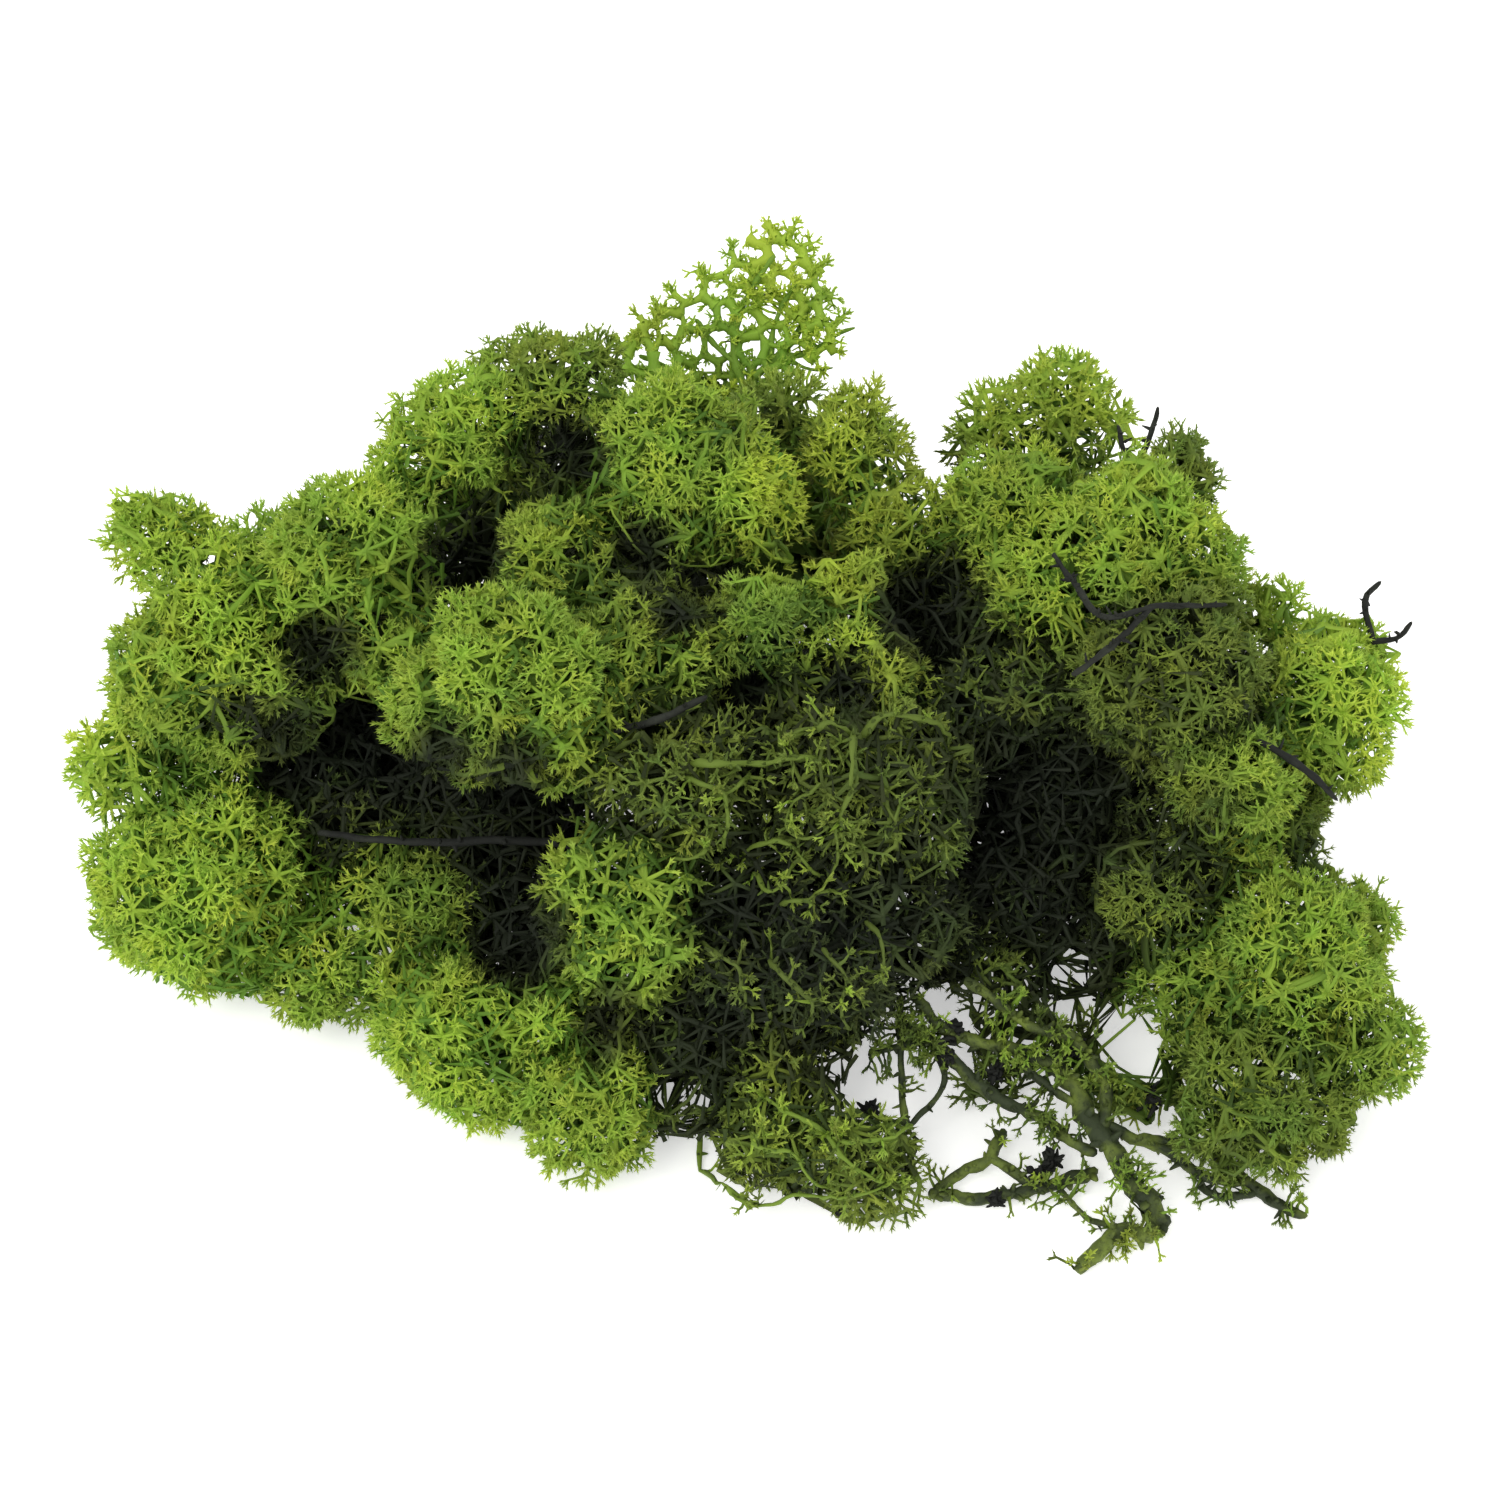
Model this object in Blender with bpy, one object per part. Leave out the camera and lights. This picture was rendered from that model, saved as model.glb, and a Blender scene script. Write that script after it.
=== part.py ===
"""A clump of preserved reindeer lichen, the "moss" that florists sell, lying on a table.

The clump is a pile of tufts that were picked together. Each tuft is one lichen with one or more round
heads, and its solid is the form that its finest tips reach. Where two tufts press on each other they
meet face to face. Bare old stems stick out at the front, and dark dead twigs lie in the heads.

Sizes are in millimetres up to the moment they reach Blender, which works in metres.
"""

import math
from dataclasses import dataclass

import bmesh
import bpy
from mathutils import Vector, noise

MM = 0.001

# The line of sight that the clump was drawn from, down on its front edge.
VIEW_ELEVATION = math.radians(50)
TO_EYE = Vector((0, -math.cos(VIEW_ELEVATION), math.sin(VIEW_ELEVATION)))
UP_IN_VIEW = Vector((0, math.sin(VIEW_ELEVATION), math.cos(VIEW_ELEVATION)))
VIEW_DISTANCE = 450
PICTURE_CENTRE = Vector((0, -17, 20))

# Tufts that touch are parted by a flat gap, and a stem lies in a groove with this room round it.
GAP = 0.4
REACH = 1.25
LEAST_SHARE = 0.3

# The heads' lumps, as shares of a head's radius.
LUMP_DEPTH = 0.2
LUMPS_PER_RADIUS = 2.1

# How many triangles a trimmed tuft keeps for each millimetre of its heads' radii.
TRIANGLES_PER_MM = 10

TUBE_SEGMENTS = 1


def seen(across, up, height):
    """The point at a height above the table that the line of sight finds at this place in the picture."""
    eye = PICTURE_CENTRE + TO_EYE * VIEW_DISTANCE
    ray = PICTURE_CENTRE + Vector((across, 0, 0)) + UP_IN_VIEW * up - eye
    return eye + ray * ((height - eye.z) / ray.z)


@dataclass
class Lobe:
    """One round head: where its middle is, its radius, and how flat it is along the line of sight."""

    centre: Vector
    radius: float
    flat: float = 1.0


def head(across, up, height, radius, flat=1.0):
    """A head that shows in the picture."""
    return Lobe(seen(across, up, height), radius, flat)


def hidden(x, y, z, radius):
    """A head under or behind those that show."""
    return Lobe(Vector((x, y, z)), radius)


BRIGHT = "lichen_bright"
OLIVE = "lichen_olive"
DARK = "lichen_dark"
STEM = "old_stem"
TWIG = "dead_twig"

COLOURS = {
    BRIGHT: (0.20, 0.34, 0.03, 1),
    OLIVE: (0.11, 0.16, 0.03, 1),
    DARK: (0.05, 0.08, 0.02, 1),
    STEM: (0.09, 0.13, 0.04, 1),
    TWIG: (0.02, 0.022, 0.018, 1),
}

TUFTS = {
    "tuft_left_horn": (BRIGHT, [head(-58.5, 21.5, 34, 6.3), head(-53.5, 14, 33, 7.5)]),
    "tuft_left_middle": (BRIGHT, [head(-55, 7, 27, 10), head(-48, 5, 29, 8)]),
    "tuft_left_edge": (BRIGHT, [head(-61.5, -1, 18, 6.6), head(-57, -4, 15, 6)]),
    "tuft_left_top": (
        BRIGHT,
        [head(-39.5, 18.5, 37, 9.8), head(-35, 9.5, 32, 7.5), head(-47, 20, 33, 5.5)],
    ),
    "tuft_left_low": (BRIGHT, [head(-54.3, -13.6, 12, 11.9)]),
    "tuft_low_shaded": (OLIVE, [head(-34, -15.5, 9, 9), head(-43, -22.5, 6.5, 6.8)]),
    "tuft_low_middle": (
        BRIGHT,
        [head(-30, -27.5, 8, 8.8), head(-20.5, -29, 9, 8), head(-25.5, -34.2, 5, 5.2)],
    ),
    "tuft_low_right": (BRIGHT, [head(-16, -35.5, 8, 8.4)]),
    "tuft_netted": (BRIGHT, [head(-12.8, -16.5, 20, 9.8)]),
    "tuft_centre_front": (BRIGHT, [head(-23.5, 5.5, 36, 11.5), head(-29, 3.5, 33, 8)]),
    "tuft_centre_right": (OLIVE, [head(-11, 9, 34, 9.6), head(-19.5, 18.5, 37, 8)]),
    "tuft_top_left": (BRIGHT, [head(-30.2, 31, 41, 8), head(-33.5, 25, 36, 6.5)]),
    "tuft_top_shaded": (
        OLIVE,
        [head(-17.8, 34.6, 41, 7.5), head(-16, 29, 36, 8), head(-22.6, 36.4, 40, 5.8)],
    ),
    "tuft_top_large": (BRIGHT, [head(-7, 27.5, 41, 10.8), head(-1, 25, 39, 8)]),
    "tuft_bluish": (OLIVE, [head(2.2, 12.5, 37, 6.5)]),
    "tuft_back_fan": (
        BRIGHT,
        [
            head(-1.5, 41.8, 32, 7.8, 0.45),
            head(2.6, 46.8, 34, 5.9, 0.45),
            head(6.2, 42, 33, 4, 0.5),
            head(-10, 38.6, 31, 4.8, 0.7),
            hidden(-3, 25.5, 23, 6),
        ],
    ),
    "tuft_back_shaded": (DARK, [head(2.5, 32.5, 30, 5.8)]),
    "tuft_back_yellow": (OLIVE, [head(9.9, 29.4, 32, 7), head(13.5, 20.5, 28, 8.2)]),
    "tuft_olive_small": (OLIVE, [head(10.5, 16, 36, 5.8), head(12, 8.5, 34, 6.3)]),
    "tuft_olive_left": (OLIVE, [head(-7.5, -3, 30, 9)]),
    "tuft_olive_right": (OLIVE, [head(10, -3, 29, 10.8), head(17, -5, 27, 8)]),
    "tuft_dark_front": (DARK, [head(5, -20, 15, 12.5), head(14.5, -17, 15, 8.5)]),
    "tuft_front_tangle": (
        OLIVE,
        [head(2, -39.0, 6, 6.6), head(11.5, -40.2, 6, 6.8), head(4, -33, 8, 7)],
    ),
    "tuft_middle_deep": (OLIVE, [head(25, 5, 26, 9), head(21, 12, 25, 8)]),
    "tuft_gap_right": (DARK, [head(29, -11, 9, 10), head(31, -3, 16, 9), head(34, -20, 8, 5)]),
    "tuft_gap_middle": (DARK, [hidden(2, -14, 21, 9), hidden(14, -12, 19, 9.5)]),
    "tuft_gap_left": (
        DARK,
        [hidden(-26, -18, 12, 11.5), hidden(-41, -16, 11, 10), hidden(-21, -31, 8, 8)],
    ),
    "tuft_gap_front": (DARK, [hidden(-6, -43, 8, 8), hidden(-6, -48, 4.5, 4.8)]),
    "tuft_net_left": (
        OLIVE,
        [head(24, -23.5, 7, 6), head(31, -27.5, 6, 5), head(24, -33, 4, 4.6)],
    ),
    "tuft_net_right": (BRIGHT, [head(36.5, -33.5, 5, 5.5)]),
    "tuft_right_back": (OLIVE, [head(31, 32.3, 28, 8, 0.8), head(25, 31.5, 27, 5.6)]),
    "tuft_right_inner": (BRIGHT, [head(27.5, 23, 34, 8.8)]),
    "tuft_right_horn": (OLIVE, [head(42.6, 26.6, 37, 5.6)]),
    "tuft_right_top": (BRIGHT, [head(38, 19, 36, 11), head(29, 16, 35, 6.8)]),
    "tuft_right_middle": (OLIVE, [head(42, 7, 32, 10.8)]),
    "tuft_right_edge": (
        BRIGHT,
        [head(57, 4.5, 26, 9), head(58.2, 9.6, 27, 6), head(52, 12.6, 24, 5)],
    ),
    "tuft_right_low": (BRIGHT, [head(47.8, -3.5, 28, 7.8)]),
    "tuft_right_shaded": (DARK, [head(41.5, -13.5, 14, 10.3), head(53, -8.3, 15, 6.3)]),
    "tuft_corner": (
        BRIGHT,
        [head(53.5, -21.5, 15, 10.3), head(42.8, -24.5, 9, 7), head(59.5, -17.5, 13, 6.3)],
    ),
    "tuft_corner_side": (BRIGHT, [head(61.8, -29.8, 10, 6.4)]),
    "tuft_corner_low": (BRIGHT, [head(50, -34.5, 8.8, 9.1), head(56, -36.5, 8, 5.5)]),
    "tuft_under_left": (OLIVE, [hidden(-42, 2, 14, 14)]),
    "tuft_under_middle": (OLIVE, [hidden(-14, 1, 15, 15)]),
    "tuft_under_right": (OLIVE, [hidden(37, -1, 14, 14.5)]),
    "tuft_rear_corner": (OLIVE, [hidden(-52.5, -1, 13, 11)]),
    "tuft_rear_left": (OLIVE, [hidden(-24, 19, 13.5, 13)]),
    "tuft_rear_middle": (OLIVE, [hidden(3, 20, 12.5, 12.5)]),
    "tuft_rear_right": (OLIVE, [hidden(31, 18, 12, 11.5), hidden(19, 8, 13, 10)]),
    "tuft_side_right": (OLIVE, [hidden(51, -14, 11, 9.5)]),
}

# Each strand is a list of points: across and up in the picture, height above the table, and radius.
STEMS = {
    "stem_hooked": [
        [
            (23.4, -29.2, 9.0, 1.1),
            (28.3, -30.5, 8.0, 1.2),
            (31.4, -34.1, 7.0, 1.4),
            (33.6, -39.0, 6.0, 1.6),
            (37.7, -42.1, 4.8, 1.6),
            (39.6, -45.7, 3.2, 1.5),
            (41.4, -47.8, 1.9, 1.2),
        ],
        [(26.0, -25.6, 12.0, 0.9), (31.0, -28.8, 10.0, 1.1), (32.5, -35.5, 6.9, 1.1)],
        [(40.2, -46.8, 2.2, 0.9), (37.7, -48.4, 1.8, 0.9), (32.8, -52.0, 1.3, 0.8)],
    ],
    "stem_left": [
        [
            (15.0, -27.5, 9.0, 0.9),
            (20.2, -31.0, 7.5, 1.0),
            (24.7, -35.0, 6.0, 1.1),
            (29.2, -36.3, 4.2, 1.1),
            (31.2, -39.0, 2.4, 0.9),
        ],
        [(19.6, -30.6, 7.6, 0.8), (16.0, -34.6, 5.0, 0.6), (15.6, -37.4, 4.0, 0.6)],
    ],
    "stem_forked": [
        [
            (34.4, -43.0, 1.3, 0.8),
            (31.6, -43.7, 1.15, 1.0),
            (26.5, -43.5, 1.15, 1.0),
            (20.8, -44.6, 1.2, 1.1),
            (17.5, -44.6, 1.3, 1.0),
        ],
        [(26.9, -42.8, 1.4, 0.8), (24.2, -40.8, 2.2, 0.9), (25.6, -38.1, 3.0, 0.7)],
        [(24.2, -40.8, 2.2, 0.8), (21.6, -41.4, 1.8, 0.8), (18.4, -43.6, 1.4, 0.8)],
    ],
    "stem_right": [
        [
            (36.6, -37.6, 5.6, 0.8),
            (41.7, -39.2, 4.0, 0.9),
            (45.2, -42.4, 2.6, 1.0),
            (48.8, -44.2, 1.6, 1.1),
            (51.5, -45.1, 1.2, 0.9),
            (55.5, -46.7, 1.0, 0.7),
        ],
        [(49.4, -44.6, 1.5, 0.7), (46.4, -45.2, 1.2, 0.6), (45.2, -45.6, 1.0, 0.6)],
    ],
}

TWIGS = {
    "twig_left_long": [[(-43, -8.3, 19, 0.5), (-34, -9.2, 19.5, 0.6), (-15.5, -9.6, 19, 0.5)]],
    "twig_centre": [[(-13.5, 1.8, 35.7, 0.4), (-9.1, 3.1, 37.5, 0.5), (-4.4, 5.3, 37.6, 0.4)]],
    "twig_bent": [
        [
            (30.4, 19.5, 42.0, 0.4),
            (32.8, 16.2, 43.2, 0.5),
            (35.3, 13.3, 43.8, 0.5),
            (40.7, 14.3, 43.9, 0.5),
            (47.5, 14.5, 42.0, 0.4),
        ],
        [(32.3, 7.6, 40.0, 0.5), (35.3, 9.7, 42.0, 0.5), (40.2, 14.1, 43.9, 0.5)],
    ],
    "twig_right_low": [
        [(50.9, 0.9, 34, 0.4), (53.8, -0.7, 34, 0.5), (56.3, -2.6, 33, 0.5), (58.6, -4.9, 32, 0.4)]
    ],
    "twig_right_tip": [
        [(62.2, 11.0, 30, 0.4), (61.5, 14.9, 32, 0.4), (63.0, 16.8, 33, 0.35)],
    ],
    "twig_top": [[(38.6, 28.0, 35, 0.4), (40.4, 32.4, 38, 0.35), (40.8, 34.2, 39, 0.3)]],
}


def clear_scene():
    """Removes the objects of the scene that the script is run in."""
    for obj in list(bpy.data.objects):
        bpy.data.objects.remove(obj)


def finish_material(name):
    """A plain rough finish in the colour of one kind of growth."""
    material = bpy.data.materials.new(name)
    material.use_nodes = True
    shader = material.node_tree.nodes["Principled BSDF"]
    shader.inputs["Base Color"].default_value = COLOURS[name]
    shader.inputs["Roughness"].default_value = 0.85
    shader.inputs["Metallic"].default_value = 0.0
    return material


def slice_off(bm, point, normal):
    """Cuts away what lies past a plane and closes the cut with a flat face."""
    geometry = bm.verts[:] + bm.edges[:] + bm.faces[:]
    bmesh.ops.bisect_plane(
        bm, geom=geometry, dist=1e-7, plane_co=point * MM, plane_no=normal, clear_outer=True
    )
    rim = [edge for edge in bm.edges if edge.is_boundary]
    if rim:
        bmesh.ops.holes_fill(bm, edges=rim)


def lumpy_ball(lobe):
    """A head as a round form with shallow lumps, a little different for each head."""
    bm = bmesh.new()
    bmesh.ops.create_icosphere(bm, subdivisions=3, radius=lobe.radius * MM)
    for vert in bm.verts:
        way = vert.co.normalized()
        swell = noise.noise(way * LUMPS_PER_RADIUS + lobe.centre)
        vert.co = vert.co * (1 + LUMP_DEPTH * swell)
        vert.co -= TO_EYE * (vert.co.dot(TO_EYE) * (1 - lobe.flat))
    bmesh.ops.translate(bm, verts=bm.verts, vec=lobe.centre * MM)
    return bm


def part_from(bm, lobe, neighbours):
    """Trims a head back to the flat faces where it presses on the heads of other tufts."""
    for other in neighbours:
        way = other.centre - lobe.centre
        apart = way.length
        if apart > (lobe.radius + other.radius) * REACH:
            continue
        share = (apart**2 + lobe.radius**2 - other.radius**2) / (2 * apart)
        share = min(max(share, LEAST_SHARE * apart), (1 - LEAST_SHARE) * apart)
        way.normalize()
        slice_off(bm, lobe.centre + way * (share - GAP / 2), way)


def mesh_object(name, bm, collection):
    """A new object that holds the mesh."""
    mesh = bpy.data.meshes.new(name)
    bm.to_mesh(mesh)
    bm.free()
    obj = bpy.data.objects.new(name, mesh)
    collection.objects.link(obj)
    return obj


def evaluated_copy(obj):
    """The object's mesh with its modifiers applied, as a new mesh."""
    graph = bpy.context.evaluated_depsgraph_get()
    return bpy.data.meshes.new_from_object(obj.evaluated_get(graph))


def fuse(name, pieces, collection):
    """Joins overlapping pieces into one solid with Boolean unions and returns it as a new object."""
    base = pieces[0]
    for piece in pieces[1:]:
        union = base.modifiers.new("join", "BOOLEAN")
        union.operation = "UNION"
        union.object = piece
    mesh = evaluated_copy(base)
    for piece in pieces:
        bpy.data.objects.remove(piece)
    obj = bpy.data.objects.new(name, mesh)
    collection.objects.link(obj)
    mesh.name = name
    return obj


def build_tuft(name, kind, lobes, neighbours, collection):
    """One tuft: its heads trimmed to their neighbours, fused, and cut flat where it meets the table."""
    pieces = []
    for lobe in lobes:
        bm = lumpy_ball(lobe)
        part_from(bm, lobe, neighbours)
        pieces.append(mesh_object("head", bm, collection))
    obj = fuse(name, pieces, collection)
    obj.data.calc_loop_triangles()
    fewer = obj.modifiers.new("fewer", "DECIMATE")
    fewer.ratio = TRIANGLES_PER_MM * sum(lobe.radius for lobe in lobes) / len(obj.data.loop_triangles)
    bm = bmesh.new()
    bm.from_mesh(evaluated_copy(obj))
    slice_off(bm, Vector((0, 0, 0)), Vector((0, 0, -1)))
    bmesh.ops.recalc_face_normals(bm, faces=bm.faces)
    bm.to_mesh(obj.data)
    bm.free()
    obj.modifiers.clear()
    dress(obj, kind)
    return obj


def strand(points, extra, collection):
    """A bare stem or twig through its points, as a closed tube, with extra added to its radius."""
    curve = bpy.data.curves.new("strand", "CURVE")
    curve.dimensions = "3D"
    curve.bevel_depth = MM
    curve.bevel_resolution = TUBE_SEGMENTS
    curve.use_fill_caps = True
    spline = curve.splines.new("POLY")
    spline.points.add(len(points) - 1)
    for target, (across, up, height, radius) in zip(spline.points, points):
        target.co = (*(seen(across, up, height) * MM), 1)
        target.radius = radius + extra
    tube = bpy.data.objects.new("strand", curve)
    collection.objects.link(tube)
    bpy.context.view_layer.update()
    bm = bmesh.new()
    bm.from_mesh(evaluated_copy(tube))
    bpy.data.objects.remove(tube)
    bmesh.ops.remove_doubles(bm, verts=bm.verts, dist=0.01 * MM)
    bmesh.ops.recalc_face_normals(bm, faces=bm.faces)
    return mesh_object("strand", bm, collection)


def build_strands(name, strands, extra, kind, collection):
    """A branching stem or twig, whose strands overlap where it forks."""
    pieces = [strand(points, extra, collection) for points in strands]
    obj = fuse(name, pieces, collection)
    dress(obj, kind)
    return obj


def dress(obj, kind):
    """Gives an object its finish and smooth shading between its sharp edges."""
    obj.data.materials.clear()
    obj.data.materials.append(bpy.data.materials[kind])
    obj.data.shade_smooth()
    obj.data.set_sharp_from_angle(angle=math.radians(40))


def corners(obj):
    """The lowest and highest corner of an object's mesh."""
    places = [vert.co for vert in obj.data.vertices]
    low = Vector(min(place[axis] for place in places) for axis in range(3))
    high = Vector(max(place[axis] for place in places) for axis in range(3))
    return low, high


def meet(first, second):
    """Whether the boxes round two objects overlap."""
    (low_a, high_a), (low_b, high_b) = corners(first), corners(second)
    return all(low_a[axis] < high_b[axis] and low_b[axis] < high_a[axis] for axis in range(3))


def cut_grooves(tufts, cutters):
    """Cuts room in the tufts for the stems and twigs that lie in them."""
    for tuft in tufts:
        for cutter in cutters:
            if meet(tuft, cutter):
                groove = tuft.modifiers.new("groove", "BOOLEAN")
                groove.operation = "DIFFERENCE"
                groove.object = cutter


def centre_on_origin(objects):
    """Moves everything so that the origin is under the middle of the clump, on the table."""
    boxes = [corners(obj) for obj in objects]
    low = Vector(min(box[0][axis] for box in boxes) for axis in range(3))
    high = Vector(max(box[1][axis] for box in boxes) for axis in range(3))
    middle = Vector(((low.x + high.x) / 2, (low.y + high.y) / 2, 0))
    for obj in objects:
        obj.location = obj.location - middle
    return middle


def main():
    """Builds the clump."""
    clear_scene()
    scene = bpy.context.scene
    clump = bpy.data.collections.new("lichen_clump")
    cutters = bpy.data.collections.new("grooves")
    scene.collection.children.link(clump)
    scene.collection.children.link(cutters)
    for kind in COLOURS:
        finish_material(kind)

    tufts = []
    for name, (kind, lobes) in TUFTS.items():
        neighbours = [lobe for other, (_, found) in TUFTS.items() if other != name for lobe in found]
        tufts.append(build_tuft(name, kind, lobes, neighbours, clump))

    strands, grooves = [], []
    for kind, group in ((STEM, STEMS), (TWIG, TWIGS)):
        for name, found in group.items():
            strands.append(build_strands(name, found, 0, kind, clump))
            groove = build_strands(name + "_groove", found, GAP, kind, cutters)
            groove.hide_render = True
            groove.display_type = "WIRE"
            grooves.append(groove)
    cut_grooves(tufts, grooves)
    middle = centre_on_origin(tufts + strands)
    for groove in grooves:
        groove.location = groove.location - middle
    print("picture centre in the part's frame, metres:", PICTURE_CENTRE * MM - middle)


main()
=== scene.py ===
import logging
import math
from collections.abc import Iterable, Iterator, Sequence
from dataclasses import dataclass, field, fields, replace
from enum import Enum
from itertools import combinations

import bpy
import numpy as np
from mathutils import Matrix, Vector, noise
from mathutils.bvhtree import BVHTree
from mathutils.geometry import delaunay_2d_cdt
from mathutils.kdtree import KDTree


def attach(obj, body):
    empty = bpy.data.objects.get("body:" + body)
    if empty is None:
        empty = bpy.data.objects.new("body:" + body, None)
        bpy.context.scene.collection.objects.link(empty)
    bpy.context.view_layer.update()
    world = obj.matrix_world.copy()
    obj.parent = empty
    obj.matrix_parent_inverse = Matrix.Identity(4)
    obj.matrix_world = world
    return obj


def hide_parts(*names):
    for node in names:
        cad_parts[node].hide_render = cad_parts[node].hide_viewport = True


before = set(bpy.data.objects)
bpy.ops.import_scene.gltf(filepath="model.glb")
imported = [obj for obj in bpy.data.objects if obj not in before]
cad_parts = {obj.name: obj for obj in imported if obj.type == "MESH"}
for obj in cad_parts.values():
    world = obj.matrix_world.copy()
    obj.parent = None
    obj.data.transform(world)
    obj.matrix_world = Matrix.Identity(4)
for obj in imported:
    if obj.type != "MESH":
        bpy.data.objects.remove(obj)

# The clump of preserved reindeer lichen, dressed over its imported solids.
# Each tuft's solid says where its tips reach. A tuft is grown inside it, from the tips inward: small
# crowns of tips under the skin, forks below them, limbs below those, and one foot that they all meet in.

LOG = logging.getLogger("moss_clump")
MM = 0.001
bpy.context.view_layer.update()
# The vector noise starts from the clock unless it is given a seed.
NOISE_SEED = 11

Array = np.ndarray
NodeValue = float | int | str | bool | tuple[float, ...]


class Slot(Enum):
    """The record's material slots."""

    BRIGHT = "lichen_bright"
    OLIVE = "lichen_olive"
    DARK = "lichen_dark"
    STEM = "old_stem"
    TWIG = "dead_twig"


def linear(code: str) -> tuple[float, float, float, float]:
    """Turns an sRGB hex colour into the linear colour that shaders take.

    Args:
        code: Six hex digits with a leading hash.

    Returns:
        Red, green, blue and an alpha of 1.
    """
    shares = [int(code[start : start + 2], 16) / 255 for start in (1, 3, 5)]
    red, green, blue = (
        share / 12.92 if share <= 0.04045 else ((share + 0.055) / 1.055) ** 2.4 for share in shares
    )
    return red, green, blue, 1.0


class ShaderGraph:
    """A material's node tree, filled one node at a time."""

    def __init__(self, name: str) -> None:
        """Starts a material with an empty tree.

        Args:
            name: The material's name.
        """
        self.material = bpy.data.materials.new(name)
        self.material.use_nodes = True
        self.tree = self.material.node_tree
        self.tree.nodes.clear()

    def add(
        self, kind: str, inputs: dict[str | int, object] | None = None, **settings: NodeValue
    ) -> bpy.types.Node:
        """Adds a node with its settings and its inputs.

        Args:
            kind: Blender's name for the kind of shader node, without its prefix.
            inputs: For each input, by name or number, a value, the output that feeds it, or a node whose
                first output in use feeds it.
            settings: Values of the node's own properties.

        Returns:
            The new node.
        """
        node = self.tree.nodes.new("ShaderNode" + kind)
        for key, value in settings.items():
            setattr(node, key, value)
        for key, value in (inputs or {}).items():
            if isinstance(value, bpy.types.Node):
                value = next(output for output in value.outputs if output.enabled)
            if isinstance(value, bpy.types.NodeSocket):
                self.tree.links.new(value, node.inputs[key])
            else:
                node.inputs[key].default_value = value
        return node


@dataclass(frozen=True)
class Dye:
    """The colours that one strength of dye gives the growth, from its tips to its foot."""

    tip: str
    young: str
    old: str
    foot: str
    warm: str
    cool: str


LIVELY = Dye(tip="#d4ea68", young="#abd445", old="#8bbb3c", foot="#62902c", warm="#d2dc48", cool="#77b23c")
DULL = Dye(tip="#9bae4e", young="#697c2e", old="#435320", foot="#262f14", warm="#8f9a38", cool="#4b7230")
# The deepest dye, which on the tufts in the gaps and in the pockets between heads is painted shade.
DEEP_AND_PAINTED_SHADE = Dye(tip="#515e33", young="#323f22", old="#202916", foot="#12180d", warm="#4a5028", cool="#263c22")


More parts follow.
